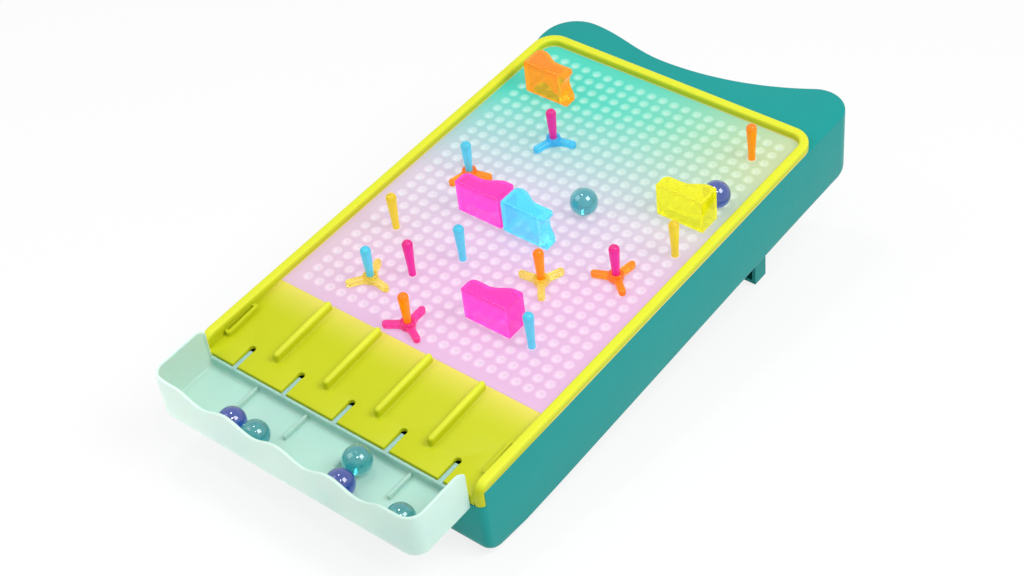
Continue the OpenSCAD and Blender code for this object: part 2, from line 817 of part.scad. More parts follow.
// Leads from the battery box and the switch to the control board, and up to the light board
module lead_wires() {
    turn_y = control_y + control_l / 2;
    box_back = battery_y + box_w / 2;
    switch_back = battery_y + switch_w / 2;
    lead_x = switch_x - switch_travel / 2;
    color("firebrick") on_board() {
        for (x = lead_xs) translate([x, box_back, wire_z]) rotate([-90, 0, 0])
            cylinder(d = wire_d, h = control_y - box_back);
        translate([lead_x, switch_back, wire_z]) rotate([-90, 0, 0])
            cylinder(d = wire_d, h = turn_y - switch_back);
        translate([lead_x, turn_y, wire_z]) sphere(d = wire_d);
        translate([0, turn_y, wire_z]) rotate([0, 90, 0]) cylinder(d = wire_d, h = lead_x);
        translate([3 * wire_d - control_w, turn_y, control_z + board_t])
            cylinder(d = wire_d, h = led_board_z - control_z - board_t);
    }
}

module switch_body() {
    color("gray") on_board() translate([switch_x - switch_travel / 2, battery_y, floor_z]) difference() {
        bar(switch_l, -switch_w / 2, switch_w / 2, 0, switch_h);
        knob_slot(-cut, knob_top + slip_gap);
    }
}

module power_switch() {
    color("black") on_board() translate([switch_x, battery_y, 0])
        bar(knob_l, -knob_w / 2, knob_w / 2, -base_depth - knob_h, floor_z + knob_top);
}

module battery_door() {
    color(TEAL) on_board() translate([0, battery_y, -base_depth]) difference() {
        union() {
            translate([door_x0 + slip_gap, -door_w / 2 + slip_gap, 0])
                cube([door_l - 2 * slip_gap, door_w - 2 * slip_gap, door_t - rest_gap]);
            bar(cells_l - 2 * slip_gap, -cells_w / 2 + slip_gap, cells_w / 2 - slip_gap, 0, base_wall);
        }
        translate([door_screw_x, 0, -cut]) cylinder(d = door_screw_d + 2 * run_gap, h = base_wall);
    }
}

module door_screw() {
    color(STEEL) on_board() translate([door_screw_x, battery_y, -base_depth]) {
        translate([0, 0, -door_head_h]) cylinder(d = door_head_d, h = door_head_h);
        cylinder(d = door_screw_d, h = door_screw_l);
    }
}

module casing_screws() {
    seat_z = floor_z + screw_seat;
    color(STEEL) on_board() at_screws(seat_z) {
        translate([0, 0, -screw_head_h]) cylinder(d = screw_head_d, h = screw_head_h);
        cylinder(d = screw_d, h = -screw_tip - seat_z);
    }
}

// Stand and feet, whose soles lie flat on the table

module front_foot() {
    color(RUBBER) difference() {
        bar(foot_l, -foot_w / 2, foot_w / 2, 0, foot_t + foot_w);
        on_board() bar(far, -far, far, -base_depth, far);
    }
}

// Hollow plate, open to the front, with ribs across its hollow
module stand() {
    hollow_w = stand_w - 2 * stand_wall;
    hollow_top = -stand_t / 2 - pin_d / 2;
    color(TEAL) on_board() translate([0, stand_y, stand_z]) difference() {
        union() {
            rotate([0, 90, 0]) cylinder(d = stand_t, h = stand_w, center = true);
            bar(stand_w, -stand_t / 2, stand_t / 2, -stand_l, 0);
        }
        difference() {
            bar(hollow_w, -stand_t, stand_t / 2 - stand_wall, -stand_l + stand_wall, hollow_top);
            for (i = [1 : stand_ribs]) translate([(i / (stand_ribs + 1) - 0.5) * hollow_w, 0, 0])
                bar(stand_wall, -stand_t, stand_t, -stand_l, 0);
        }
        for (side = [-1, 1]) translate([side * stand_w / 2, 0, 0]) rotate([0, 90, 0])
            cylinder(d = pin_d + 2 * run_gap, h = pin_l + 2 * slip_gap, center = true);
    }
}

module stand_pins() {
    color(STEEL) on_board() for (side = [-1, 1]) translate([side * bay_w / 2, stand_y, stand_z])
        rotate([0, 90, 0]) cylinder(d = pin_d, h = pin_l, center = true);
}

module stand_pads() {
    pad_x = stand_w / 2 - pad_inset - pad_l / 2;
    pad_y = board_y0 + stand_y * cos(tilt) - (stand_z - stand_l) * sin(tilt);
    pad_w = stand_t - 2 * pad_edge;
    color(RUBBER) difference() {
        for (side = [-1, 1]) translate([side * pad_x, pad_y, 0])
            bar(pad_l, -pad_w / 2, pad_w / 2, 0, foot_t + pad_w);
        on_board() bar(far, -far, far, stand_z - stand_l, far);
    }
}

// Marble tray

// Front rim: a wave with a crest at each lane's middle, rising into the end walls
function rim_at(x) =
    let (lift = max(0, min(1, (abs(x) - tray_w / 2 + 3 * tray_r) / (2 * tray_r))))
    (tray_rim_h + tray_wave * cos(360 * (x - lane_x(0)) / lane_pitch)) * (1 - lift) + tray_end_h * lift;

module rim_waste() {
    half = tray_w / 2 + cut;
    top = tray_end_h + cut;
    line = [for (t = [-1 : 1 / 32 : 1]) [half * t, rim_at(half * t)]];
    translate([0, tray_front_y + tray_r, 0]) rotate([90, 0, 0]) linear_extrude(tray_r + cut)
        polygon(concat(line, [[half, top], [-half, top]]));
}

module tray_shell() {
    inner_w = tray_w - 2 * tray_wall;
    difference() {
        translate([0, 0, -tray_drop]) linear_extrude(tray_drop + tray_end_h)
            round_plate(tray_w, tray_front_y, tray_back_y, tray_r, small_r);
        translate([0, 0, -tray_drop + tray_wall]) linear_extrude(tray_drop + tray_end_h)
            round_plate(inner_w, tray_front_y + tray_wall, tray_back_y - tray_wall,
                        tray_r - tray_wall, small_r);
        rim_waste();
        bar(inner_w, tray_back_y - tray_wall - small_r, cut, sill_z, far);
    }
}

// Hook plate that lies in a notch of the ramp and drops behind the base's front wall
module tray_hook() {
    bar(hook_w, tray_back_y - tray_wall / 2, notch_l - slip_gap, -skirt_drop, sill_z);
    bar(hook_w, hook_y, hook_y + hook_t, -skirt_drop - hook_lip, sill_z);
}

module marble_tray() {
    floor_top = -tray_drop + tray_wall;
    color(FROST) on_board() {
        tray_shell();
        for (i = [0 : lane_count - 1]) translate([lane_x(i), 0, 0]) tray_hook();
        for (i = [0 : lane_count - 2]) translate([lane_x(i + 0.5), tray_back_y - tray_wall / 2, 0])
            bar(divider_w, -divider_l, 0, floor_top - tray_wall / 2, floor_top + divider_h);
    }
}

// Pegs, spinners, blocks and marbles

module peg(spec) {
    head_z = peg_h - peg_head_d / 2;
    color(spec[2]) on_board() translate([hole_x(spec[0]), hole_y(spec[1]), 0]) {
        translate([0, 0, -plug_l]) cylinder(d = plug_d, h = plug_l + plug_root);
        translate([0, 0, rest_gap]) cylinder(d = peg_foot_d, h = peg_step_z - rest_gap);
        translate([0, 0, peg_step_z]) cylinder(d1 = peg_foot_d, d2 = peg_head_d, h = head_z - peg_step_z);
        translate([0, 0, head_z]) sphere(d = peg_head_d);
    }
}

module spinner(spec) {
    tip = spinner_r - arm_w / 2;
    color(spec[3]) on_board() translate([hole_x(spec[0]), hole_y(spec[1]), slip_gap]) difference() {
        union() {
            cylinder(d = hub_d, h = hub_h);
            for (turn = [0, 120, 240]) rotate([0, 0, spec[4] + turn]) linear_extrude(arm_t) {
                translate([0, -arm_w / 2]) square([tip, arm_w]);
                translate([tip, 0]) circle(d = arm_w);
            }
        }
        translate([0, 0, -cut]) cylinder(d = peg_foot_d + 2 * run_gap, h = hub_h + 2 * cut);
    }
}

// Plan of a block with its deep end towards +X, set in by an inset for its hollow
module block_plan(inset, deep_r, tip_r) {
    x0 = inset - block_half;
    x1 = block_half - inset;
    y0 = inset - block_front;
    low = block_shallow - block_front - inset;
    high = block_deep - block_front - inset;
    slope = atan((block_deep - block_shallow) / block_run);
    top_x = block_half - block_step + inset * tan(slope / 2);
    difference() {
        polygon([[x0, y0], [x1, y0], [x1, high], [top_x, high], [top_x - block_run, low], [x0, low]]);
        translate([x1, high]) corner_waste(deep_r);
        translate([x0, low]) mirror([1, 0]) corner_waste(tip_r);
    }
}

// Room inside a block, clear of its plugs' roots and of its waist
module block_hollow(plug_xs, deep_r, tip_r, waist) {
    difference() {
        translate([0, 0, -cut]) linear_extrude(block_h - block_wall + cut)
            block_plan(block_wall, deep_r, tip_r);
        translate([-block_half, -far / 2, -far / 2]) cube([waist + block_wall, far, far]);
        for (x = plug_xs) translate([x, 0, -cut]) cylinder(d = plug_d + 2 * block_wall, h = block_h);
    }
}

module block(spec) {
    plug_xs = [-1, 1] * plug_span / 2;
    waist = spec[3] ? waist_d : 0;
    deep_r = spec[3] ? block_r : small_r;
    tip_r = spec[3] ? block_tip_r : block_r;
    color(spec[2], 0.7) on_board() translate([hole_x(spec[0]) + plug_span / 2, hole_y(spec[1]), rest_gap])
        mirror([spec[3] ? 1 : 0, 0, 0]) {
            difference() {
                linear_extrude(block_h) block_plan(0, deep_r, tip_r);
                block_hollow(plug_xs, deep_r, tip_r, waist);
                if (spec[3]) translate([waist - block_half - waist_r, 0, block_h / 2]) rotate([90, 0, 0])
                    cylinder(r = waist_r, h = far, center = true);
            }
            for (x = plug_xs) translate([x, 0, -plug_l]) cylinder(d = plug_d, h = plug_l + plug_root);
        }
}

module marble(spec) {
    color(spec[1], 0.6) on_board() translate(spec[0]) sphere(d = marble_d);
}

base_shell();
bezel_ramp();
lane_ribs();
light_panel();
diffuser_sheet();
reflector();
led_board();
leds();
control_board();
battery_box();
batteries();
battery_contacts();
lead_wires();
switch_body();
casing_screws();
front_foot();
stand_pins();
battery_door();
door_screw();
power_switch();
stand();
stand_pads();
marble_tray();
for (i = [0 : len(PEGS) - 1]) peg(PEGS[i]);
for (i = SPUN) spinner(PEGS[i]);
for (i = [0 : len(BLOCKS) - 1]) block(BLOCKS[i]);
for (i = [0 : len(MARBLES) - 1]) marble(MARBLES[i]);
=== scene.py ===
"""Looks of the light-up marble run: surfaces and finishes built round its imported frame."""
import math

import bmesh
import bpy
import numpy as np
from mathutils import Matrix, Vector
from mathutils.geometry import delaunay_2d_cdt


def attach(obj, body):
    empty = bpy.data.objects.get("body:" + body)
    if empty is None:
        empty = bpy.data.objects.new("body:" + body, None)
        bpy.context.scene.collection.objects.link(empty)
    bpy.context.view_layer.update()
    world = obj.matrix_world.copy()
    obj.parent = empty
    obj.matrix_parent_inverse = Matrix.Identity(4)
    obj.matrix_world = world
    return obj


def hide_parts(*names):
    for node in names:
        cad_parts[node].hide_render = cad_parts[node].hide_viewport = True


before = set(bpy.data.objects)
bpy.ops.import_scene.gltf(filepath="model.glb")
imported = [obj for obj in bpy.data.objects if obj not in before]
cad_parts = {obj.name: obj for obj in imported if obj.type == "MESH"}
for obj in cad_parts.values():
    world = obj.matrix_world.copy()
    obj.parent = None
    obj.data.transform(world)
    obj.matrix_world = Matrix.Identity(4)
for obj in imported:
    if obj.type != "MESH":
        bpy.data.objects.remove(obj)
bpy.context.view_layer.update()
scene = bpy.context.scene

# Board coordinates are in millimetres: X across, Y from the ramp's front edge to the back, and Z from
# the panel's top face. on_board() tilts them over the table.
TILT = math.radians(8.7)
SIN, COS = math.sin(TILT), math.cos(TILT)
FOOT_Y, SOLE, SOLE_T = 16.0, 52.5, 2.5
BOARD_Y = -FOOT_Y * COS - SOLE * SIN
BOARD_Z = SOLE * COS - FOOT_Y * SIN
# Points closer than this, in metres, are welded
WELD = 4e-6

# Panel and its grid of holes
PITCH, COLS, ROWS, HOLE_R = 8.0, 21, 29, 1.7
FIRST_ROW_Y = 69.5
HOLE_EDGE_R, PANEL_GAP, PANEL_CORNER_R = 0.5, 0.3, 1.0
HALO_R, HALO_FADE = 3.6, 1.9
# The panel's pink and mint ends: where they begin on its middle line, how they lean and how far they fade
PINK_Y, PINK_LEAN, PINK_FADE = 190.0, 0.4, 70.0
MINT_Y, MINT_LEAN, MINT_FADE = 188.0, 0.2, 85.0

# Frame, ramp and ribs
OPEN_X, FRAME_X, FRAME_Y, RIM_H = 90.5, 96.0, 309.0, 5.2
FRONT_R, RIM_BACK_R, RIM_W, RIM_EDGE_R = 4.0, 14.0, 5.5, 1.5
RAMP_L, RAMP_DROP, RAMP_T, RAMP_LAP = 59.5, 3.2, 2.4, 0.4
WASH_Y, WASH_L = 36.0, 26.0
SKIRT_T, SKIRT_Z = 3.0, -9.5
LANE_PITCH, NOTCH_W, NOTCH_L, NOTCH_END_R = 35.2, 3.6, 13.5, 2.1
LANES = [LANE_PITCH * i for i in (-2, -1, 0, 1, 2)]
RIB_XS = [LANE_PITCH * i for i in (-1.5, -0.5, 0.5, 1.5)]
RIB_W, RIB_H, RIB_FRONT, RIB_L, RIB_FOOT_R = 4.0, 5.6, 13.0, 45.0, 0.7
SIDE_RIB_X, SIDE_RIB_W, SIDE_RIB_L = 87.4, 2.2, 24.0
SIDE_SLOT_X, SIDE_SLOT_W, SIDE_SLOT_L = 89.3, 1.6, 20.0
SIDE_SLOT_Y = RIB_FRONT + (SIDE_RIB_L - SIDE_SLOT_L) / 2
SIDE_RING_H, SIDE_RING_R = 3.0, 2.0

# Base: its plan, its lower edge, the stand's bay and the openings in its floor
BASE_Z, WALL = -50.0, 2.4
FLOOR_Z = BASE_Z + WALL
FLARE, FLARE_Y, FLARE_L = 5.0, 285.0, 24.0
BACK_R, LOBE_R, SWEEP_R = 22.0, 18.0, 185.0
DECK_Y, DECK_WAVE, TROUGH_X = 325.5, 8.5, -22.0
SIDE_START_Y, FRONT_STEP = 30.0, 3.3
SIDE_FOOT_R, FOOT_R, FRONT_FOOT_R = 2.5, 8.0, 12.0
FOOT_GROW_Y, FOOT_GROW_L, FRONT_FOOT_L = 60.0, 220.0, 16.0
TOP_EDGE_R, MOUTH_R = 1.4, 0.5
FLOOR_INSET, FLOOR_LIFT = 5.0, 4.0
STAND_Y, STAND_Z = 275.0, -44.1
STAND_L = (STAND_Y * SIN + STAND_Z * COS + BOARD_Z - SOLE_T) / COS
BAY_ROOM = 10.5
BAY_X, BAY_FRONT, BAY_BACK, BAY_ROOF = 79.3, STAND_Y - STAND_L - BAY_ROOM, 280.8, -38.3
DOOR_Y, DOOR_X0, DOOR_X1, DOOR_HALF = 126.0, -28.9, 36.9, 24.8
DOOR_SEAT_Z = BASE_Z + 1.2
GRIP_X0, GRIP_X1, GRIP_PITCH, GRIP_COUNT = -22.0, -8.0, 4.0, 6
CELLS_X, CELLS_HALF = 26.9, 22.8
KNOB_X0, KNOB_X1, KNOB_HALF = 45.7, 55.3, 2.3
SCREW_XS, SCREW_Y, SCREW_R, SCREW_Z = (-73.5, -24.5, 24.5, 73.5), 36.0, 3.2, -44.0
BOSS_R, BOSS_Z = 4.6, -22.0
RAMP_WALL_X = 94.0
STRIP_X, STRIP_HALF, STRIP_R = 75.0, 6.0, 4.0

# Tray
TRAY_X, TRAY_BACK, TRAY_FRONT, TRAY_R = 89.0, -0.3, -40.3, 9.0
TRAY_Z, TRAY_WALL, TRAY_END, TRAY_RIM, TRAY_WAVE, SILL_Z = -12.0, 2.0, 16.5, 13.0, 2.6, -4.2
TRAY_END_R, TRAY_BACK_R, TRAY_SOLE_R, TRAY_FLOOR_R = 5.0, 1.0, 0.95, 1.2
DIVIDER_HALF, DIVIDER_Y0, DIVIDER_Y1, DIVIDER_H = 0.8, -20.3, -1.3, 3.0
HOOK_HALF, HOOK_Y0, HOOK_Y1, CLAW_Y0, CLAW_Y1, CLAW_L = 1.5, -1.3, 13.2, 2.7, 5.1, 4.0

# Pegs, spinners, blocks and marbles
PEG_H, PEG_HEAD_R, PEG_FOOT_R, PEG_STEP, PLUG_R, PLUG_L = 25.0, 3.05, 2.1, 5.3, 1.62, 6.0
PLUG = [(0.0, -PLUG_L), (PLUG_R - 0.5, -PLUG_L), (PLUG_R, 0.6 - PLUG_L)]
HUB_R, HUB_H, ARM_W, ARM_T, ARM_R, LIFT, BORE_PLAY = 4.2, 4.7, 4.0, 3.6, 14.0, 0.3, 0.08
BLOCK_H, BLOCK_HALF, BLOCK_WALL, WAIST = 22.0, 15.0, 2.0, 4.0
BLOCK_FRONT, BLOCK_TOP_R, BLOCK_FOOT_R = -2.0, 0.9, 0.3
PLAIN_CORNERS, WAISTED_CORNERS = (1.0, 4.0), (4.0, 2.5)
BLOCK_LOW, BLOCK_HIGH, BLOCK_TOP_X, BLOCK_RUN = 7.5, 13.0, 10.4, 13.8
REST_GAP, MARBLE_R = 0.1, 8.0

# Pegs by hole and colour, with the colour and the turn of the spinner on them
PEGS = [
    (6, 20, "magenta", "cyan", 13), (3, 14, "cyan", "orange", 14), (2, 7, "yellow", None, 0),
    (8, 7, "cyan", None, 0), (6, 4, "magenta", None, 0), (4, 2, "cyan", "yellow", -8),
    (9, 0, "orange", "pink", -28), (14, 8, "orange", "yellow", 67), (18, 11, "magenta", "orange", 81),
    (17, 3, "cyan", None, 0), (20, 15, "yellow", None, 0), (19, 26, "orange", None, 0),
]
# Blocks by the hole of their left plug and colour, plain or waisted
BLOCKS = [(5, 11, "pink", False), (12, 3, "pink", False), (17, 18, "yellow", False),
          (9, 11, "cyan", True), (1, 24, "orange", True)]
# Marbles by place and colour
MARBLES = [
    (-43.2, -30.2, -1.9, "navy"), (-26.9, -30.2, -1.9, "sea"), (28.4, -14.15, -1.9, "sea"),
    (31.2, -30.2, -1.9, "navy"), (70.4, -30.2, -1.9, "sea"), (76.8, 234.6, 8.1, "navy"),
    (18.4, 191.1, 8.1, "sea"),
]


def on_board(points):
    """Board millimetres to table metres: Y and Z turn by the tilt, then move to the board's place."""
    x, y, z = np.asarray(points, float).T
    return np.stack([x, BOARD_Y + y * COS - z * SIN, BOARD_Z + y * SIN + z * COS], 1) / 1000


def hole_at(col, row):
    """Plan place of a hole: columns count from the middle one, rows from the front one."""
    return (col - (COLS - 1) / 2) * PITCH, FIRST_ROW_Y + row * PITCH


# Outlines


def plan(x, y):
    """Plan points from their two coordinates, of which one may be the same for all."""
    return np.stack(np.broadcast_arrays(x, y), 1)


def arc(x, y, r, start, end, count):
    """Points on a circle of radius r about (x, y), from one angle to another in degrees."""
    t = np.radians(np.linspace(start, end, count))
    return plan(x + r * np.cos(t), y + r * np.sin(t))


def circle(x, y, r, count=24):
    """Whole circle, without the last point, which would repeat the first."""
    return arc(x, y, r, 0, 360, count + 1)[:-1]


def rectangle(x0, x1, y0, y1, r, count=4):
    """Rectangle with round corners: four quarter circles joined by straight sides."""
    return np.concatenate([arc(x1 - r, y0 + r, r, -90, 0, count), arc(x1 - r, y1 - r, r, 0, 90, count),
                           arc(x0 + r, y1 - r, r, 90, 180, count), arc(x0 + r, y0 + r, r, 180, 270, count)])


def unit(vectors):
    """Vectors with the same directions and a length of one."""
    return vectors / np.maximum(np.linalg.norm(vectors, axis=1, keepdims=True), 1e-9)


def set_in(loop, distance):
    """Loop drawn in to the left of its travel: each point moves along the mitre of its two edges."""
    turn = np.array([[0.0, 1.0], [-1.0, 0.0]])
    side_a = unit(loop - np.roll(loop, 1, 0)) @ turn
    side_b = unit(np.roll(loop, -1, 0) - loop) @ turn
    mitre = unit(side_a + side_b)
    reach = 1 / np.maximum((mitre * side_a).sum(1, keepdims=True), 0.5)
    return loop + distance * mitre * reach


def at_height(loop, z):
    """Plan points with a height, which is one number or one for each point."""
    return np.column_stack([loop, np.broadcast_to(z, len(loop))])


# Surfaces


def loft(rings, closed=True):
    """Surface through a stack of rings: quads join each point to its neighbours along and across them."""
    rings = np.asarray(rings, float)
    count, width = rings.shape[:2]
    i = np.arange(count - 1)[:, None] * width
    j = np.arange(width if closed else width - 1)[None, :]
    k = (j + 1) % width
    quads = np.stack([i + j, i + k, i + width + k, i + width + j], -1).reshape(-1, 4)
    return rings.reshape(-1, 3), quads


def lathe(x, y, profile, count=24):
    """Profile of (radius, height) pairs turned about an upright axis through (x, y)."""
    return loft([at_height(circle(x, y, r, count), z) for r, z in profile])


def inside(points, loop):
    """Which points lie in a loop: those from which a level ray crosses its edges an odd number of times."""
    x, y = points[:, :1], points[:, 1:]
    (ax, ay), (bx, by) = loop.T, np.roll(loop, -1, 0).T
    spans = (ay > y) != (by > y)
    rise = np.where(by == ay, 1.0, by - ay)
    return (spans & (x < ax + (bx - ax) * (y - ay) / rise)).sum(1) % 2 == 1


def flat_face(loops, z):
    """Flat face inside the first loop and outside the others, cut into triangles along their edges."""
    starts = np.cumsum([0] + [len(loop) for loop in loops])
    edges = np.concatenate([np.stack([s + np.arange(n), s + (np.arange(n) + 1) % n], 1)
                            for s, n in zip(starts, np.diff(starts))])
    points = [Vector(p) for p in np.concatenate(loops)]
    flat, _, faces, *_ = delaunay_2d_cdt(points, edges.tolist(), [], 1, 1e-5)
    flat, faces = np.array([v[:] for v in flat]), np.array(faces)
    middle = flat[faces].mean(1)
    keep = inside(middle, loops[0])
    for hole in loops[1:]:
        near = np.flatnonzero((np.abs(middle - hole.mean(0)) <= np.ptp(hole, 0)).all(1))
        keep[near[inside(middle[near], hole)]] = False
    return at_height(flat, z), faces[keep]


def edge_round(r, steps):
    """(draw-in, drop) pairs of a quarter circle from a flat face to its side."""
    if r <= 0:
        return [(0.0, 0.0)]
    t = np.radians(np.linspace(90, 0, steps + 1))
    return list(zip(r * (1 - np.cos(t)), r * (1 - np.sin(t))))


class Skin:
    """Patches of one piece in board millimetres, welded into one mesh when the piece is made."""

    def __init__(self):
        self.points, self.marks, self.quads, self.tris, self.size = [], [], [], [], 0

    def add(self, points, quads=(), tris=(), mark=0.0):
        """One patch: points, faces by point number, and a mark that finishes can read at each point."""
        self.points.append(np.asarray(points, float))
        self.marks.append(np.broadcast_to(mark, len(points)))
        self.quads.append(np.asarray(quads, int).reshape(-1, 4) + self.size)
        self.tris.append(np.asarray(tris, int).reshape(-1, 3) + self.size)
        self.size += len(points)
        return self

    def face(self, loops, z):
        """Flat patch inside the first loop and outside the others."""
        points, tris = flat_face(loops, z)
        return self.add(points, tris=tris)

    def prism(self, loops, low, high, r_low=0.0, r_high=0.0, steps=3):
        """Upright plate with holes: each loop is carried down its side, drawn in by a quarter circle at
        both edges, and the upper and lower faces are filled."""
        profile = [(d, high - z) for d, z in edge_round(r_high, steps)]
        profile += [(d, low + z) for d, z in reversed(edge_round(r_low, steps))]
        for loop in loops:
            self.add(*loft([at_height(set_in(loop, d), z) for d, z in profile]))
        self.face([set_in(loop, profile[0][0]) for loop in loops], high)
        return self.face([set_in(loop, profile[-1][0]) for loop in loops], low)

    def cup(self, loop, mouth, end):
        """Upright wall along a loop, from its open mouth to its filled end."""
        return self.add(*loft([at_height(loop, mouth), at_height(loop, end)])).face([loop], end)

    def bend(self, shape):
        """Moves all points so far by a function of the whole array."""
        self.points = [shape(p) for p in self.points]
        return self

    def piece(self, name, finish, body, nodes, slot, crease=32):
        """The finished object: patches welded, faces turned outwards, edges past the crease angle sharp."""
        mesh = bpy.data.meshes.new(name)
        faces = np.concatenate(self.quads).tolist() + np.concatenate(self.tris).tolist()
        mesh.from_pydata(on_board(np.concatenate(self.points)).tolist(), [], faces)
        marks = np.concatenate(self.marks).astype(float)
        if marks.any():
            mesh.attributes.new("mark", "FLOAT", "POINT").data.foreach_set("value", marks)
        work = bmesh.new()
        work.from_mesh(mesh)
        bmesh.ops.remove_doubles(work, verts=work.verts, dist=WELD)
        bmesh.ops.dissolve_degenerate(work, edges=work.edges, dist=WELD)
        bmesh.ops.recalc_face_normals(work, faces=work.faces)
        work.to_mesh(mesh)
        work.free()
        mesh.shade_smooth()
        mesh.set_sharp_from_angle(angle=math.radians(crease))
        mesh.materials.append(finish)
        thing = bpy.data.objects.new(name, mesh)
        scene.collection.objects.link(thing)
        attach(thing, body)
        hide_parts(*nodes)


# Shader wiring


def operator(kind):
    """Python operator that adds a Math node of one kind."""
    return lambda wire, other: wire.math(kind, wire, other)


class Wire:
    """A value socket: its operators add Math nodes, and numbers may stand on either side."""

    __add__ = __radd__ = operator("ADD")
    __sub__ = operator("SUBTRACT")
    __mul__ = operator("MULTIPLY")
    __truediv__ = operator("DIVIDE")
    __pow__ = operator("POWER")

    def __init__(self, tree, socket):
        self.tree, self.socket = tree, socket

    def math(self, operation, *values):
        """One Math node with these values."""
        node = self.tree.nodes.new("ShaderNodeMath")
        node.operation = operation
        for slot, value in zip(node.inputs, values):
            join(self.tree, slot, value)
        return Wire(self.tree, node.outputs[0])

    def __rsub__(self, other):
        return self.math("SUBTRACT", other, self)

    def clamp(self):
        """The value held between nought and one."""
        return self.math("MINIMUM", self.math("MAXIMUM", self, 0.0), 1.0)


def join(tree, slot, value):
    """Links a wire into a socket, or sets the socket's own value."""
    if isinstance(value, Wire):
        tree.links.new(value.socket, slot)
    else:
        slot.default_value = value


def shade(text):
    """Linear colour of a written one, by the standard display curve."""
    raw = np.array([int(text[i:i + 2], 16) / 255 for i in (1, 3, 5)])
    return (*np.where(raw <= 0.04045, raw / 12.92, ((raw + 0.055) / 1.055) ** 2.4), 1.0)


class Finish:
    """One material with its main shader and the piece's own coordinates in metres."""

    def __init__(self, name, **values):
        self.material = bpy.data.materials.new(name)
        self.material.use_nodes = True
        self.tree = self.material.node_tree
        self.shader = next(n for n in self.tree.nodes if n.type == "BSDF_PRINCIPLED")
        for label, value in values.items():
            self.set(label.replace("_", " ").title().replace("Ior", "IOR"), value)
        self.place = self.node("ShaderNodeTexCoord", output="Object")

    def set(self, label, value):
        """Sets or links one socket of the main shader."""
        join(self.tree, self.shader.inputs[label], value)

    def node(self, kind, settings=None, inputs=None, output=0):
        """Any other node: its settings first, then its sockets' values or links; gives one output."""
        node = self.tree.nodes.new(kind)
        for label, value in (settings or {}).items():
            setattr(node, label, value)
        for label, value in (inputs or {}).items():
            join(self.tree, node.inputs[label], value)
        return Wire(self.tree, node.outputs[output])

    def noise(self, scale, detail=3.0):
        """Cloudy noise over the piece's own coordinates."""
        return self.node("ShaderNodeTexNoise", None,
                         {"Vector": self.place, "Scale": scale, "Detail": detail, "Roughness": 0.55})

    def mix(self, factor, a, b):
        """Colour between a and b by a wire or a number."""
        node = self.tree.nodes.new("ShaderNodeMix")
        node.data_type = "RGBA"
        for index, value in ((0, factor), (6, a), (7, b)):
            join(self.tree, node.inputs[index], value)
        return Wire(self.tree, node.outputs[2])

    def bump(self, height, strength, distance=0.0002):
        """Fine relief of the surface by a height."""
        self.set("Normal", self.node("ShaderNodeBump", None, {
            "Height": height, "Strength": strength, "Distance": distance}))

    def mark(self):
        """The number that a piece's points carry, which is nought on a piece without marks."""
        return self.node("ShaderNodeAttribute", {"attribute_name": "mark"}, output="Fac")

    def axes(self):
        """The piece's own coordinates, one by one."""
        node = self.tree.nodes.new("ShaderNodeSeparateXYZ")
        join(self.tree, node.inputs[0], self.place)
        return [Wire(self.tree, s) for s in node.outputs]


def board_place(finish):
    """Across, along and above the board in its millimetres, from the piece's own coordinates."""
    x, y, z = finish.axes()
    run, rise = y * 1000 - BOARD_Y, z * 1000 - BOARD_Z
    return x * 1000, run * COS + rise * SIN, rise * COS - run * SIN


def moulded(name, colour, rough=0.42, grain=2200.0, depth=0.05, vary=0.05, gloss=0.28, **values):
    """Satin moulded plastic: a little cloudiness in its colour, uneven gloss and fine spark-eroded grain."""
    finish = Finish(name, specular_ior_level=gloss, **values)
    cloud = finish.noise(28.0, 4.0)
    dark, light = ((*(min(1.0, c * k) for c in shade(colour)[:3]), 1.0) for k in (1 - vary, 1 + vary))
    finish.set("Base Color", finish.mix(cloud, dark, light))
    finish.set("Roughness", rough + (finish.noise(160.0, 2.0) - 0.5) * 0.14)
    finish.bump(finish.noise(grain, 2.0), depth)
    return finish


def tinted(name, colour, top, glow, clear, rough, height):
    """Clear tinted plastic, part see-through, that carries some of the panel's light to its surface and
    turns to its top colour, a painted shade, over the upper part of its height and on its marked points."""
    finish = Finish(name, transmission_weight=clear, ior=1.42, specular_ior_level=0.3, emission_strength=glow)
    above = board_place(finish)[2]
    # Painted shade: the upper fifth of the piece's height and its marked points turn to the darker top
    # colour, in colour and in glow
    turn = 0.8 * height
    rise = ((above - turn) / (height - turn)).clamp()
    rise = rise.math("MAXIMUM", rise, finish.mark())
    body = finish.mix(rise * 0.8, shade(colour), shade(top))
    flow = finish.noise(90.0, 3.0)
    finish.set("Base Color", finish.mix(flow * 0.2, body, shade(top)))
    finish.set("Emission Color", finish.mix(rise, shade(colour), shade(top)))
    finish.set("Roughness", rough + finish.noise(240.0, 2.0) * 0.08)
    finish.bump(finish.noise(900.0, 2.0), 0.04)
    return finish.material


def tint_set(kind, pairs, **values):
    """One tinted finish for each colour of a kind of piece, from its body colour and its top colour, which
    paints shade.
    """
    return {colour: tinted(f"{kind}_{colour}", *pair, **values) for colour, pair in pairs.items()}


def marble_glass(name, colour, deep):
    """Coloured glass: swirls of a deeper colour under a clear polished skin."""
    finish = Finish(name, transmission_weight=0.85, ior=1.5, coat_weight=1.0, roughness=0.02,
                    emission_strength=0.08)
    swirl = finish.node("ShaderNodeTexNoise", None, {
        "Vector": finish.place, "Scale": 110.0, "Detail": 3.0, "Distortion": 2.2})
    finish.set("Base Color", finish.mix(swirl, shade(deep), shade(colour)))
    # Painted light: a faint glow in the glass's own colour
    finish.set("Emission Color", shade(colour))
    return finish.material


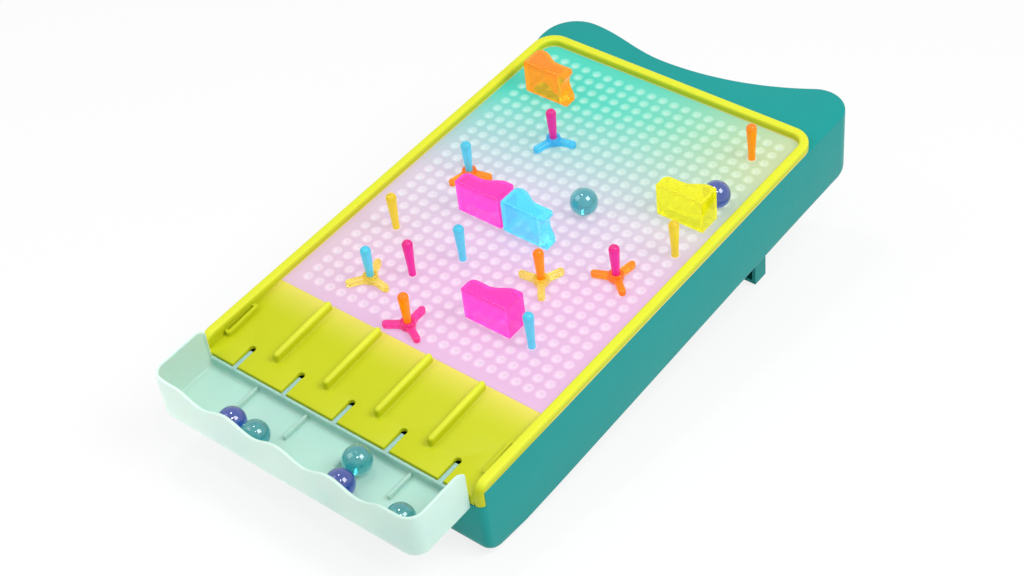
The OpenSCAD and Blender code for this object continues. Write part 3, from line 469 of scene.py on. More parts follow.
def lit_panel():
    """Milky panel lit from behind: soft pools of coloured light by place, a pale halo round each hole of
    the grid, and the same pale light inside the holes."""
    finish = Finish("lit_panel", roughness=0.4, specular_ior_level=0.2, emission_strength=0.63)
    across, along, above = board_place(finish)

    def pool(cx, cy, rx, ry):
        """Light that falls off with the square of the distance from its middle, in its two reaches."""
        dx, dy = (across - cx) / rx, (along - cy) / ry
        return dx.math("EXPONENT", 0 - (dx * dx + dy * dy))

    def from_hole(distance):
        """Distance to the nearest hole's middle along one axis."""
        pitches = distance / PITCH + 0.5
        return (pitches.math("FRACT", pitches) - 0.5) * PITCH

    front = ((PINK_Y + across * PINK_LEAN - along) / PINK_FADE).clamp()
    back = ((along - MINT_Y - across * MINT_LEAN) / MINT_FADE).clamp()
    colour = finish.mix(front, shade("#dfd9ee"), shade("#f3c4ea"))
    colour = finish.mix(pool(-105, 100, 55, 90) * 0.8, colour, shade("#ead2d9"))
    colour = finish.mix(back, colour, shade("#0ae3c5"))
    colour = finish.mix(pool(100, 285, 75, 70), colour, shade("#d4e6a6"))
    dx, dy = from_hole(across), from_hole(along - FIRST_ROW_Y)
    halo = ((HALO_R - (dx * dx + dy * dy) ** 0.5) / HALO_FADE).clamp()
    reach = PITCH * COLS / 2
    grid = (reach - across).clamp() * (reach + across).clamp() * (along - FIRST_ROW_Y + PITCH / 2).clamp()
    grid = grid * (FIRST_ROW_Y + PITCH * (ROWS - 0.5) - along).clamp()
    depth = (above * -1.2 - 0.2).clamp()
    pale = halo.math("MAXIMUM", halo * grid, depth)
    field = finish.mix(0.2, colour, shade("#8a6f96"))
    colour = finish.mix(pale, field, finish.mix(0.25, colour, shade("#ffffff")))
    haze = finish.noise(60.0, 3.0)
    glow = finish.mix(haze * 0.1, colour, shade("#ffffff"))
    finish.set("Emission Color", finish.mix(depth * 0.42, glow, shade("#ffffff")))
    finish.set("Base Color", finish.mix(0.62, colour, shade("#000000")))
    finish.bump(finish.noise(1500.0, 2.0), 0.05)
    return finish.material


def lime_plastic():
    """Lime plastic of the frame, with the panel's light washing over the ramp's upper end, and painted
    light that makes its higher parts paler.
    """
    finish = moulded("lime_plastic", "#bfc616", rough=0.4, vary=0.04, gloss=0.22, emission_strength=0.35)
    along, above = board_place(finish)[1:]
    wash = ((along - WASH_Y) / WASH_L).clamp() * ((1.2 - above) * 2).clamp()
    base = Wire(finish.tree, finish.shader.inputs["Base Color"].links[0].from_socket)
    # Painted light: points more than 1.5 mm above the panel, on the rim and the ribs' upper parts, turn paler
    base = finish.mix(((above - 1.5) / 3).clamp() * 0.6, base, shade("#e9ee3c"))
    finish.set("Base Color", finish.mix(wash * wash * 0.45, base, shade("#ecd284")))
    finish.set("Emission Color", finish.mix(wash * wash, shade("#000000"), shade("#b8945a")))
    return finish.material


def frosted():
    """Milky frosted plastic that lets some light through its walls: pale outside, painted shade in the
    trough.
    """
    finish = Finish("frost_plastic", transmission_weight=0.25, ior=1.4, subsurface_weight=0.25,
                    emission_strength=0.22)
    across, along, above = board_place(finish)
    # Mask of the trough's inside, where the colour and the glow are darkened as painted shade
    aside = across.math("MAXIMUM", across.math("ABSOLUTE", across) - (TRAY_X - TRAY_R), 0.0)
    before = along.math("MAXIMUM", TRAY_FRONT + TRAY_R - along, 0.0)
    trough = (TRAY_R - TRAY_WALL / 2 - (aside * aside + before * before) ** 0.5).clamp()
    trough = trough * (above - TRAY_Z - TRAY_WALL / 2).clamp()
    cloud = finish.noise(34.0, 4.0)
    outer = finish.mix(cloud, shade("#cdebdf"), shade("#e2f4ec"))
    # Painted shade: the trough's inside is a darker green than the outside
    inner = finish.mix(cloud, shade("#b0d8ca"), shade("#c2e4d6"))
    finish.set("Base Color", finish.mix(trough, outer, inner))
    # Painted light: the glow falls from near white on the left side to grey-green on the right, and is dark
    # in the trough as painted shade
    side = finish.mix((across / TRAY_X + 1) * 0.5, shade("#fbfffd"), shade("#88a299"))
    finish.set("Emission Color", finish.mix(trough, side, shade("#203830")))
    finish.set("Roughness", 0.5 + (finish.noise(200.0, 2.0) - 0.5) * 0.16)
    finish.bump(finish.noise(1400.0, 2.0), 0.06)
    return finish.material


def teal_plastic():
    """Teal plastic of the base, with the panel's light on the walls inside the light box and on the
    marked points."""
    finish = moulded("teal_plastic", "#1d9490", rough=0.42, gloss=0.1, emission_strength=0.8)
    across, along, above = board_place(finish)
    wide, deep = FRAME_X - 1, FRAME_Y - 1
    spill = (wide - across).clamp() * (wide + across).clamp() * (-RAMP_T - above).clamp()
    spill = spill * (deep - along).clamp() * (along - RAMP_L - WALL).clamp() * (above + 30).clamp()
    spill = spill.math("MAXIMUM", spill, finish.mark() * (along - RAMP_L - WALL).clamp())
    light = finish.mix(((200 - along) / 85).clamp(), shade("#d8efec"), shade("#ffc9ec"))
    finish.set("Emission Color", finish.mix(spill, shade("#000000"), light))
    return finish.material


TEAL = teal_plastic()
LIME = lime_plastic()
FROST = frosted()
PANEL = lit_panel()
RUBBER = moulded("rubber", "#36393c", rough=0.8, depth=0.2).material
BLACK = moulded("black_plastic", "#232528", rough=0.5).material
# White plastic with a glow: on the LEDs it is their own light, on the reflector it is painted light
GLOWING_WHITE = moulded("white_plastic", "#f2f2f0", rough=0.5, emission_strength=0.9)
GLOWING_WHITE.set("Emission Color", shade("#fdf2ff"))
STEEL = moulded("steel", "#b9bcc0", rough=0.3, metallic=1.0).material
BRASS = moulded("brass", "#c9a24a", rough=0.3, metallic=1.0).material
CIRCUIT = moulded("circuit_board", "#1f6b45", rough=0.35).material
WIRE_RED = moulded("wire_red", "#b3261e", rough=0.35).material

# Each colour pairs a body colour with a darker top colour, which paints shade on the upper part
PEG_FINISH = tint_set("clear", {
    "cyan": ("#6adcf2", "#4cc4dc"), "magenta": ("#f034ae", "#dc2686"), "orange": ("#ffa60c", "#f08200"),
    "yellow": ("#efdc3c", "#dcc024")}, glow=0.14, clear=0.5, rough=0.16, height=PEG_H)
SPINNER_FINISH = tint_set("spin", {
    "cyan": ("#5cd4f6", "#40c0ea"), "orange": ("#ffa41a", "#f48a08"), "yellow": ("#f6e478", "#e8c83c"),
    "pink": ("#f84aae", "#e83c9a")}, glow=0.1, clear=0.7, rough=0.12, height=HUB_H)
BLOCK_FINISH = tint_set("block", {
    "cyan": ("#7ae2f9", "#62d8f2"), "orange": ("#ffb808", "#f89a06"), "yellow": ("#eceb08", "#e4de10"),
    "pink": ("#fd66e0", "#ee44b0")}, glow=0.16, clear=0.82, rough=0.05, height=BLOCK_H)
GLASS = {"navy": marble_glass("glass_navy", "#4a6ad0", "#24389a"),
         "sea": marble_glass("glass_sea", "#55c2c8", "#2892a0")}


# Teal base


def front_corner(inset, lift=0.0):
    """Right front corner: a quarter circle, with two points where the front wall steps down. Lift draws the
    front back and widens the corner."""
    r = FRONT_R + lift
    step = math.degrees(math.asin((FRONT_STEP - FRONT_R) / FRONT_R))
    return np.concatenate([arc(FRAME_X - r, lift + r, r - inset, -90, step, 6),
                           arc(FRAME_X - r, lift + r, r - inset, step, 0, 6)])


def base_loop(inset, lift=0.0):
    """Plan of the base: round front corners, a straight right side, the lobe's corner, a hollow sweep to the
    trough, half a cosine up to the left crest, the left corner and the eased flare of the left side."""
    front = front_corner(inset, lift)
    swing = LOBE_R + SWEEP_R
    lean = math.asin((FRAME_X - LOBE_R - TROUGH_X) / swing)
    hub, tilt = DECK_Y + SWEEP_R - swing * math.cos(lean), math.degrees(lean)
    up = np.append(np.linspace(SIDE_START_Y, FRAME_Y - RIM_BACK_R, 13), hub)
    side = plan(FRAME_X - inset, up)
    lobe = arc(FRAME_X - LOBE_R, hub, LOBE_R - inset, 0, 90 + tilt, 17)[1:]
    sweep = arc(TROUGH_X, DECK_Y + SWEEP_R, SWEEP_R + inset, tilt - 90, -90, 25)[1:]
    t = np.linspace(0, 1, 25)[1:-1]
    end = FRAME_X + FLARE - BACK_R
    climb = DECK_WAVE * (1 - np.cos(np.pi * t)) / 2
    wave = plan(TROUGH_X - (end + TROUGH_X) * t, DECK_Y + climb - inset)
    corner = arc(-end, DECK_Y + DECK_WAVE - BACK_R, BACK_R - inset, 90, 180, 10)
    far = (FLARE_Y + FLARE_L - SIDE_START_Y) / FLARE_L
    s = np.concatenate([np.linspace(0, 1, 9), np.linspace(1, far, 9)[1:]])
    ease = FLARE * (1 + np.cos(np.pi * np.minimum(s, 1))) / 2
    flare = plan(inset - FRAME_X - ease, FLARE_Y + FLARE_L * (1 - s))
    return np.concatenate([front, side, lobe, sweep, wave, corner, flare, front[::-1] * [-1, 1]])


def well_loop():
    """Edge of the well that the frame and the panel drop into, point for point beside base_loop."""
    r, back, side = RIM_BACK_R - WALL, FRAME_Y - WALL, FRAME_X - WALL
    front = front_corner(WALL)
    x = np.linspace(side - r, r - side, 49)[1:-1]
    up = np.append(np.linspace(SIDE_START_Y, back - r, 13), back - r)
    down = np.concatenate([np.linspace(back - r, FLARE_Y, 9), np.linspace(FLARE_Y, SIDE_START_Y, 9)[1:]])
    return np.concatenate([
        front, plan(side, up), arc(side - r, back - r, r, 0, 90, 17)[1:], plan(x, back),
        arc(r - side, back - r, r, 90, 180, 10), plan(-side, down), front[::-1] * [-1, 1]])


def foot_rings():
    """Rounded bottom edge: quarter circles whose radius grows from the sides' front towards the back, with
    a larger one under the front wall."""
    flat = base_loop(0)
    drawn, lifted = base_loop(1) - flat, base_loop(0, 1) - flat
    y = flat[:, 1]
    more = FRONT_FOOT_R - SIDE_FOOT_R
    side = SIDE_FOOT_R + (FOOT_R - SIDE_FOOT_R) * np.clip((y - FOOT_GROW_Y) / FOOT_GROW_L, 0, 1)
    rise = side + more * np.clip(1 - y / FRONT_FOOT_L, 0, 1)
    for k, climb in edge_round(1.0, 7):
        loop = flat + drawn * (side * k)[:, None] + lifted * more * k
        yield at_height(loop, BASE_Z + rise * climb)


def build_base():
    """Open box: rings climb the outside from the floor's edge, cross the top to the well, and go down
    the inside; both floors are filled round the stand's bay, the battery opening and the screw holes."""
    skin = Skin()
    count = len(base_loop(0))
    low_front = np.zeros(count, bool)
    low_front[:6] = low_front[-6:] = True
    top = np.where(low_front, SKIRT_Z - 0.1, 0.0)
    rings = list(foot_rings())
    sole, floor = rings[0][:, :2], base_loop(FLOOR_INSET, FLOOR_LIFT)
    rings += [at_height(base_loop(d), top - z) for d, z in reversed(edge_round(TOP_EDGE_R, 4))]
    rings += [at_height(well_loop(), top), at_height(well_loop(), top - WALL),
              at_height(base_loop(WALL), top - WALL), at_height(base_loop(WALL), FLOOR_Z + FOOT_R),
              at_height(floor, FLOOR_Z)]
    # The inner wall's rings are marked, and the teal finish paints the panel's light on them behind the
    # ramp's cross wall
    indoors = np.arange(len(rings)) >= len(rings) - 3
    skin.add(*loft(rings), mark=np.repeat(indoors, count))
    bay = rectangle(-BAY_X, BAY_X, BAY_FRONT, BAY_BACK, 1.0)
    bay_out = rectangle(-BAY_X - WALL, BAY_X + WALL, BAY_FRONT - WALL, BAY_BACK + WALL, 3.0)
    door = rectangle(DOOR_X0, DOOR_X1, DOOR_Y - DOOR_HALF, DOOR_Y + DOOR_HALF, 1.0)
    cells = rectangle(-CELLS_X, CELLS_X, DOOR_Y - CELLS_HALF, DOOR_Y + CELLS_HALF, 0.6)
    knob = rectangle(KNOB_X0, KNOB_X1, DOOR_Y - KNOB_HALF, DOOR_Y + KNOB_HALF, 0.8)
    screws = [circle(x, SCREW_Y, SCREW_R) for x in SCREW_XS]
    bosses = [circle(x, SCREW_Y, BOSS_R) for x in SCREW_XS]
    pockets = (bay, door, knob, *screws)
    skin.face([sole, *(set_in(loop, -MOUTH_R) for loop in pockets)], BASE_Z)
    for loop, depth in zip(pockets, (BAY_ROOF, DOOR_SEAT_Z, FLOOR_Z, *[SCREW_Z] * len(screws))):
        mouth = [at_height(set_in(loop, -d), BASE_Z + z) for d, z in edge_round(MOUTH_R, 3)]
        skin.add(*loft(mouth + [at_height(loop, depth)]))
    skin.face([bay], BAY_ROOF)
    skin.face([door, cells], DOOR_SEAT_Z)
    skin.add(*loft([at_height(cells, DOOR_SEAT_Z), at_height(cells, FLOOR_Z)]))
    for loop in screws:
        skin.face([loop], SCREW_Z)
    skin.face([floor, bay_out, cells, knob, *bosses], FLOOR_Z)
    skin.cup(bay_out, FLOOR_Z, BAY_ROOF + WALL)
    for loop in bosses:
        skin.cup(loop, FLOOR_Z, BOSS_Z)
    skin.prism([rectangle(-RAMP_WALL_X, RAMP_WALL_X, RAMP_L, RAMP_L + WALL, 0.3)], FLOOR_Z - 0.4, -RAMP_T)
    skin.piece("base", TEAL, "board", ["base_shell"], "teal_plastic")


# Lime frame and ramp


def ramp_z(y):
    """Height of the ramp, which falls evenly from the panel to its front edge."""
    return -RAMP_DROP * (1 - y / RAMP_L)


def sloped(points):
    """Points over the ramp, lifted by its slope."""
    return points + np.stack([0 * points[:, 0], 0 * points[:, 0], ramp_z(points[:, 1])], 1)


def rim_paths():
    """Outer and inner edge of the rim, point for point, from the right front tip round to the left one."""
    y = np.concatenate([np.linspace(0, SKIRT_T, 8) ** 1.4 / SKIRT_T ** 0.4, [SKIRT_T + 0.01],
                        np.linspace(SKIRT_T + 0.5, 10, 10), np.linspace(10, FRAME_Y - RIM_BACK_R, 24)[1:]])
    bow = np.sqrt(np.maximum(FRONT_R ** 2 - np.maximum(FRONT_R - y, 0) ** 2, 0))
    outer_x = FRAME_X - FRONT_R + bow
    turn = arc(0, 0, 1.0, 0, 90, 13)[1:]
    centre = np.array([FRAME_X - RIM_BACK_R, FRAME_Y - RIM_BACK_R])
    outer = np.concatenate([plan(outer_x, y), centre + turn * RIM_BACK_R])
    inner = np.concatenate([plan(OPEN_X, y), centre + turn * (RIM_BACK_R - RIM_W)])
    return [np.concatenate([path, path[::-1] * [-1, 1]]) for path in (outer, inner)]


def build_frame():
    """Rim: a round-edged bar carried round three sides, whose top falls by a quarter circle at its front
    ends. Ramp: a sloped plate with notches and slots. Skirt: the plate's front edge, drawn down."""
    skin = Skin()
    outer, inner = rim_paths()
    y = outer[:, 1]
    fall = RIM_H + RAMP_DROP
    drop = np.sqrt(np.maximum(fall ** 2 - np.maximum(fall - y, 0) ** 2, 0))
    top = drop - RAMP_DROP
    foot = np.where(y < SKIRT_T + 0.005, SKIRT_Z, 0.0)
    inner_foot = np.where(y < RAMP_L, ramp_z(np.minimum(y, RAMP_L)) - 1.4, 0.0)
    across, turn = unit(inner - outer), edge_round(1.0, 5)
    r = np.minimum(RIM_EDGE_R, np.linalg.norm(inner - outer, axis=1) * 0.45)
    rings = [at_height(outer, foot)]
    rings += [at_height(outer + across * (r * d)[:, None], top - r * z) for d, z in reversed(turn)]
    rings += [at_height(inner - across * (r * d)[:, None], top - r * z) for d, z in turn]
    rings += [at_height(inner, inner_foot), at_height(outer, foot)]
    skin.add(*loft(rings, closed=False))
    for end in (0, -1):
        cap = np.array([ring[end] for ring in rings[:-1]])
        skin.add(cap, tris=[(0, i, i + 1) for i in range(1, len(cap) - 1)])
    side = OPEN_X + RAMP_LAP
    edge = [np.array([[-side, 0.05]])]
    reach = NOTCH_L - math.sqrt(NOTCH_END_R ** 2 - (NOTCH_W / 2) ** 2)
    swing = math.degrees(math.acos(NOTCH_W / 2 / NOTCH_END_R))
    for lane in LANES:
        left, right = lane - NOTCH_W / 2, lane + NOTCH_W / 2
        edge += [np.array([[left, 0], [left, SKIRT_T], [left, reach]]),
                 arc(lane, NOTCH_L, NOTCH_END_R, 180 + swing, -swing, 14)[1:-1],
                 np.array([[right, reach], [right, SKIRT_T], [right, 0]])]
    edge += [np.array([[side, 0.05], [side, RAMP_L], [-side, RAMP_L]])]
    half = SIDE_SLOT_W / 2
    slots = [rectangle(x - half, x + half, SIDE_SLOT_Y, SIDE_SLOT_Y + SIDE_SLOT_L, 0.6)[::-1]
             for x in (-SIDE_SLOT_X, SIDE_SLOT_X)]
    plate = Skin().prism([np.concatenate(edge), *slots], -RAMP_T, 0.0, 0.0, 0.5)
    plate.bend(sloped)
    plate.bend(lambda p: np.where(((p[:, 1] < SKIRT_T - 0.2) & (p[:, 2] < -RAMP_DROP - 1))[:, None]
                                  & np.array([False, False, True]), SKIRT_Z, p))
    skin.add(*(np.concatenate(part) for part in (plate.points, plate.quads, plate.tris)))
    skin.piece("frame_and_ramp", LIME, "board", ["bezel_ramp"], "lime_plastic")


def build_ribs():
    """Long ribs: a stadium outline carried up a flared foot, a straight side and a half-round back. Side
    ribs: low rings round the slots, with rounded edges. All follow the ramp's slope."""
    skin = Skin()
    half = RIB_W / 2
    profile = [(-d, z) for d, z in edge_round(RIB_FOOT_R, 3)]
    profile += [(d, RIB_H - z) for d, z in reversed(edge_round(half, 6))]
    for x in RIB_XS:
        loop = np.concatenate([arc(x, RIB_FRONT + RIB_L - half, half, 0, 180, 13),
                               arc(x, RIB_FRONT + half, half, 180, 360, 13)])
        skin.add(*loft([at_height(set_in(loop, d * 0.999), z) for d, z in profile]))
        skin.face([set_in(loop, profile[0][0])], 0.0)
    for side in (-1, 1):
        ring = rectangle(SIDE_RIB_X - SIDE_RIB_W / 2, OPEN_X - 0.1, RIB_FRONT, RIB_FRONT + SIDE_RIB_L,
                         SIDE_RING_R, 8)
        slot = rectangle(SIDE_SLOT_X - 0.9, SIDE_SLOT_X + 0.8, SIDE_SLOT_Y, SIDE_SLOT_Y + SIDE_SLOT_L,
                         0.8, 8)[::-1]
        loops = [ring, slot] if side > 0 else [(loop * [-1, 1])[::-1] for loop in (ring, slot)]
        skin.prism(loops, 0.0, SIDE_RING_H, 0.0, 0.28, 4)
    skin.bend(sloped).piece("lane_ribs_piece", LIME, "board", ["lane_ribs"], "lime_plastic")


def build_panel():
    """Thin plate with a grid of holes, each with a rounded mouth."""
    r, near = RIM_BACK_R - WALL, PANEL_CORNER_R
    side, back = FRAME_X - WALL - PANEL_GAP, FRAME_Y - WALL - PANEL_GAP
    front = RAMP_L + PANEL_GAP + near
    outline = np.concatenate([
        arc(side - near, front, near, -90, 0, 3), arc(side - r, back - r, r, 0, 90, 10),
        arc(r - side, back - r, r, 90, 180, 10), arc(near - side, front, near, 180, 270, 3)])
    col, row = np.meshgrid(np.arange(COLS), np.arange(ROWS))
    spots = plan(*hole_at(col.ravel(), row.ravel()))
    ring = circle(0, 0, HOLE_R, 12)[::-1]
    skin = Skin().prism([outline, *(spots[:, None] + ring[None])], -RAMP_T, 0.0, 0.0, HOLE_EDGE_R, 2)
    skin.piece("peg_panel", PANEL, "board", ["light_panel"], "lit_panel")


def build_front_foot():
    """Rubber strip: a long plate with round corners and a rounded sole, sheared to lie level on the table."""
    loop = rectangle(-STRIP_X, STRIP_X, FOOT_Y - STRIP_HALF, FOOT_Y + STRIP_HALF, STRIP_R, 7)

    def level(p):
        """Drops the sole by the tilt's rise from the strip's middle, and the upper face not at all."""
        depth = (BASE_Z - p[:, 2]) / (BASE_Z + SOLE)
        return p - np.outer((p[:, 1] - FOOT_Y) * depth * SIN / COS, [0, 0, 1])
    skin = Skin().prism([loop], -SOLE, BASE_Z, 0.9, 0.0).bend(level)
    skin.piece("front_foot_strip", RUBBER, "board", ["front_foot"], "rubber")


def build_door_grip():
    """Finger grip of the battery door: a row of low ribs with rounded backs."""
    skin = Skin()
    for step in range(GRIP_COUNT):
        y = DOOR_Y + GRIP_PITCH * (step - (GRIP_COUNT - 1) / 2)
        rib = rectangle(GRIP_X0, GRIP_X1, y - 0.7, y + 0.7, 0.65)
        skin.prism([rib], BASE_Z - 0.5, BASE_Z + 0.4, 0.4, 0.0)
    skin.piece("battery_door_grip", TEAL, "battery_door", [], "teal_plastic")


# Frosted tray


def tray_loop(inset):
    """Tray outline from the front's left end round to the left side: large front corners, small back ones."""
    r, back = TRAY_BACK_R, TRAY_BACK - inset
    side = TRAY_X - inset
    x = np.linspace(-(TRAY_X - TRAY_R), TRAY_X - TRAY_R, 121)
    y_mid = np.linspace(TRAY_FRONT + TRAY_R, back - r, 16)[1:-1]
    end = side - r
    sill = np.concatenate([[end - 0.05, end - 0.1], np.linspace(end, -end, 41)[1:-1],
                           [0.1 - end, 0.05 - end]])
    right = [arc(TRAY_X - TRAY_R, TRAY_FRONT + TRAY_R, TRAY_R - inset, -90, 0, 9)[1:],
             plan(side, y_mid), arc(end, back - r, r, 0, 90, 5)]
    left = [part[::-1] * [-1, 1] for part in right[::-1]]
    return np.concatenate([plan(x, TRAY_FRONT + inset), *right, plan(sill, back), *left])


def tray_rim():
    """Rim height along the outline: a wave in front, level ends that round down at the back, a low sill."""
    loop = tray_loop(0)
    x, y = loop.T
    lift = np.clip((np.abs(x) - TRAY_X + 3 * TRAY_R) / (2 * TRAY_R), 0, 1)
    wave = TRAY_RIM + TRAY_WAVE * np.cos(2 * np.pi * (x - LANES[0]) / LANE_PITCH)
    r = TRAY_END_R
    over = np.clip(y - (TRAY_BACK - r), 0, r)
    end = TRAY_END - r + np.sqrt(r * r - over * over * 0.93)
    rim = np.where(y < TRAY_FRONT + 0.5, wave * (1 - lift) + TRAY_END * lift, end)
    sill = (y > TRAY_BACK - 0.01) & (np.abs(x) < TRAY_X - TRAY_BACK_R - 0.08)
    return np.where(sill, SILL_Z, rim)


def build_tray():
    """Thin-walled tray: rings climb the outside, turn over the rim by a half circle and go down inside. Low
    dividers stand on its floor, and a hook with a claw reaches into each notch."""
    skin = Skin()
    rim = tray_rim()
    rings = [at_height(tray_loop(d), TRAY_Z + z) for d, z in edge_round(TRAY_SOLE_R, 4)]
    half = TRAY_WALL / 2
    rings += [at_height(tray_loop(half * (1 - math.cos(a))), rim - half + half * math.sin(a))
              for a in np.linspace(0, math.pi, 9)]
    floor = TRAY_Z + TRAY_WALL
    rings += [at_height(tray_loop(TRAY_WALL + d), floor + z)
              for d, z in reversed(edge_round(TRAY_FLOOR_R, 4))]
    skin.add(*loft(rings))
    skin.face([tray_loop(TRAY_SOLE_R)], TRAY_Z)
    skin.face([tray_loop(TRAY_WALL + TRAY_FLOOR_R)], floor)
    for x in RIB_XS:
        divider = rectangle(x - DIVIDER_HALF, x + DIVIDER_HALF, DIVIDER_Y0, DIVIDER_Y1, 0.7)
        skin.prism([divider], floor - 0.8, floor + DIVIDER_H, 0.0, 0.6)
    for x in LANES:
        hook = rectangle(x - HOOK_HALF, x + HOOK_HALF, HOOK_Y0, HOOK_Y1, 0.5)
        skin.prism([hook], SKIRT_Z, SILL_Z, 0.0, 0.4)
        claw = rectangle(x - HOOK_HALF, x + HOOK_HALF, CLAW_Y0, CLAW_Y1, 0.4)
        skin.prism([claw], SKIRT_Z - CLAW_L, SKIRT_Z + 0.6, 0.4, 0.0)
    skin.piece("tray", FROST, "marble_tray", ["marble_tray"], "frost_plastic")


# Pegs, spinners, blocks and marbles


def loose(skin, kind, index, finish, slot, crease=40):
    """A piece of its own body, which has the name of its node."""
    name = f"{kind}_{index}"
    skin.piece(name + "_piece", finish, name, [name], slot, crease)


def build_peg(index, col, row, colour):
    """Turned shape: a plug with a soft tip, a straight foot, a slow taper and a ball for a head."""
    x, y = hole_at(col, row)
    ball = PEG_H - PEG_HEAD_R
    profile = PLUG + [(PLUG_R, REST_GAP), (PEG_FOOT_R - 0.15, REST_GAP), (PEG_FOOT_R, 0.25),
                      (PEG_FOOT_R, PEG_STEP)]
    profile += [(PEG_HEAD_R * math.cos(a), ball + PEG_HEAD_R * math.sin(a))
                for a in np.linspace(-0.05, math.pi / 2, 10)]
    skin = Skin().add(*lathe(x, y, profile, 28))
    loose(skin, "peg", index, PEG_FINISH[colour], "clear_" + colour)


def spinner_loop():
    """Three arms in polar form: each arm is a capsule seen from the middle, and a soft maximum with the
    hub's circle rounds the inner corners."""
    s = np.linspace(-1, 1, 36)[:-1]
    away = np.radians(60) * np.sign(s) * np.abs(s) ** 1.9
    half, tip = ARM_W / 2, ARM_R - ARM_W / 2
    sine = np.maximum(np.abs(np.sin(away)), 1e-6)
    end = tip * np.cos(away) + np.sqrt(np.maximum(half ** 2 - (tip * sine) ** 2, 0))
    arm = np.where(np.tan(np.abs(away)) >= half / tip, half / sine, end)
    reach = (arm ** 5 + HUB_R ** 5) ** (1 / 5)
    turns = np.radians([0, 120, 240])[:, None]
    angle = (turns + away[None]).ravel()
    reach = np.tile(reach, 3)
    return plan(reach * np.cos(angle), reach * np.sin(angle))


def build_spinner(index, col, row, colour, turn):
    """Flat arms with rounded edges, and a collar round the peg's hole."""
    x, y = hole_at(col, row)
    bore = circle(0, 0, PEG_FOOT_R + BORE_PLAY)[::-1]
    skin = Skin().prism([spinner_loop(), bore], LIFT, LIFT + ARM_T, 0.5, 0.8)
    skin.prism([circle(0, 0, HUB_R, 32), bore], LIFT + 0.6, LIFT + HUB_H, 0.0, 0.7)
    a = math.radians(turn)
    spin = np.array([[math.cos(a), math.sin(a), 0], [-math.sin(a), math.cos(a), 0], [0, 0, 1]])
    skin.bend(lambda p: p @ spin + [x, y, 0])
    loose(skin, "spinner", index, SPINNER_FINISH[colour], "clear_" + colour)


def block_loop(inset, deep_r, tip_r, stop):
    """Block plan with its deep end towards +X: a straight front, the deep corner, a shoulder that eases by
    half a cosine down to the shallow back, and the shallow corner. Points left of stop are held there."""
    x0, x1, y0 = inset - BLOCK_HALF, BLOCK_HALF - inset, inset + BLOCK_FRONT
    low, high = BLOCK_LOW - inset, BLOCK_HIGH - inset
    deep_r, tip_r = max(deep_r - inset, 0.6), max(tip_r - inset, 0.6)
    t = np.linspace(0, 1, 18)
    shoulder = plan(BLOCK_TOP_X + 0.2 * inset - BLOCK_RUN * t,
                    high - (high - low) * (1 - np.cos(np.pi * t)) / 2)
    front = np.array([[x0, y0], [x1 - 0.6, y0], [x1, y0]])
    loop = np.concatenate([front, arc(x1 - deep_r, high - deep_r, deep_r, 0, 90, 7), shoulder,
                           arc(x0 + tip_r, low - tip_r, tip_r, 90, 180, 7)])
    return plan(np.maximum(loop[:, 0], stop), loop[:, 1])


def build_block(index, col, row, colour, waisted):
    """Hollow block, open below: outer rings with rounded edges, drawn in by a round waist at the shallow
    end of the waisted kind, and an inner room with the same plan. The plain kind's deep end is marked."""
    x, y = hole_at(col, row)
    deep_r, tip_r = WAISTED_CORNERS if waisted else PLAIN_CORNERS
    stop = -BLOCK_HALF + (WAIST if waisted else 0) + BLOCK_WALL
    outer = block_loop(0.0, deep_r, tip_r, -99)
    levels = np.linspace(BLOCK_H - 1.4, 0.8, 15)
    profile = [(d, BLOCK_H - z) for d, z in edge_round(BLOCK_TOP_R, 4)] + [(0.0, z) for z in levels]
    profile += [(d, z) for d, z in reversed(edge_round(BLOCK_FOOT_R, 2))]
    # The plain kind's deep end face is marked: its finish paints it in the darker top colour as painted shade
    end = (outer[:, 0] > BLOCK_HALF - 0.2) & (not waisted)
    sides = loft([at_height(set_in(outer, d), z) for d, z in profile])
    skin = Skin().add(*sides, mark=np.tile(end, len(profile)))
    skin.face([set_in(outer, BLOCK_TOP_R)], BLOCK_H)
    room = block_loop(BLOCK_WALL, deep_r, tip_r, stop)
    skin.cup(room, 0.0, BLOCK_H - BLOCK_WALL)
    skin.face([set_in(outer, BLOCK_FOOT_R), room], 0.0)
    if waisted:
        radius = BLOCK_H / 2

        def draw_in(p):
            """Holds points to the right of a half circle that bulges into the shallow end."""
            away = np.sqrt(np.maximum(radius ** 2 - (p[:, 2] - radius) ** 2, 0))
            edge = WAIST - BLOCK_HALF - radius + away
            return np.column_stack([np.maximum(p[:, 0], edge), p[:, 1:]])
        skin.bend(draw_in)
    for plug in (-1.5 * PITCH, 1.5 * PITCH):
        skin.add(*lathe(plug, 0, PLUG + [(PLUG_R, 0.6), (0.0, 0.6)], 20))
    flip = -1.0 if waisted else 1.0
    skin.bend(lambda p: p * [flip, 1, 1] + [x + 1.5 * PITCH, y, REST_GAP])
    loose(skin, "block", index, BLOCK_FINISH[colour], "clear_" + colour)


def build_marble(index, x, y, z, colour):
    """Ball: circles of latitude from pole to pole."""
    a = np.linspace(-np.pi / 2, np.pi / 2, 33)
    profile = plan(MARBLE_R * np.cos(a), z + MARBLE_R * np.sin(a))
    skin = Skin().add(*lathe(x, y, profile, 56))
    loose(skin, "marble", index, GLASS[colour], "glass_" + colour, 60)


build_base()
build_frame()
build_ribs()
build_panel()
build_front_foot()
build_door_grip()
build_tray()
for number, (col, row, colour, spinner, turn) in enumerate(PEGS, 1):
    build_peg(number, col, row, colour)
    if spinner:
        build_spinner(number, col, row, spinner, turn)
for number, block in enumerate(BLOCKS, 1):
    build_block(number, *block)
for number, marble in enumerate(MARBLES, 1):
    build_marble(number, *marble)

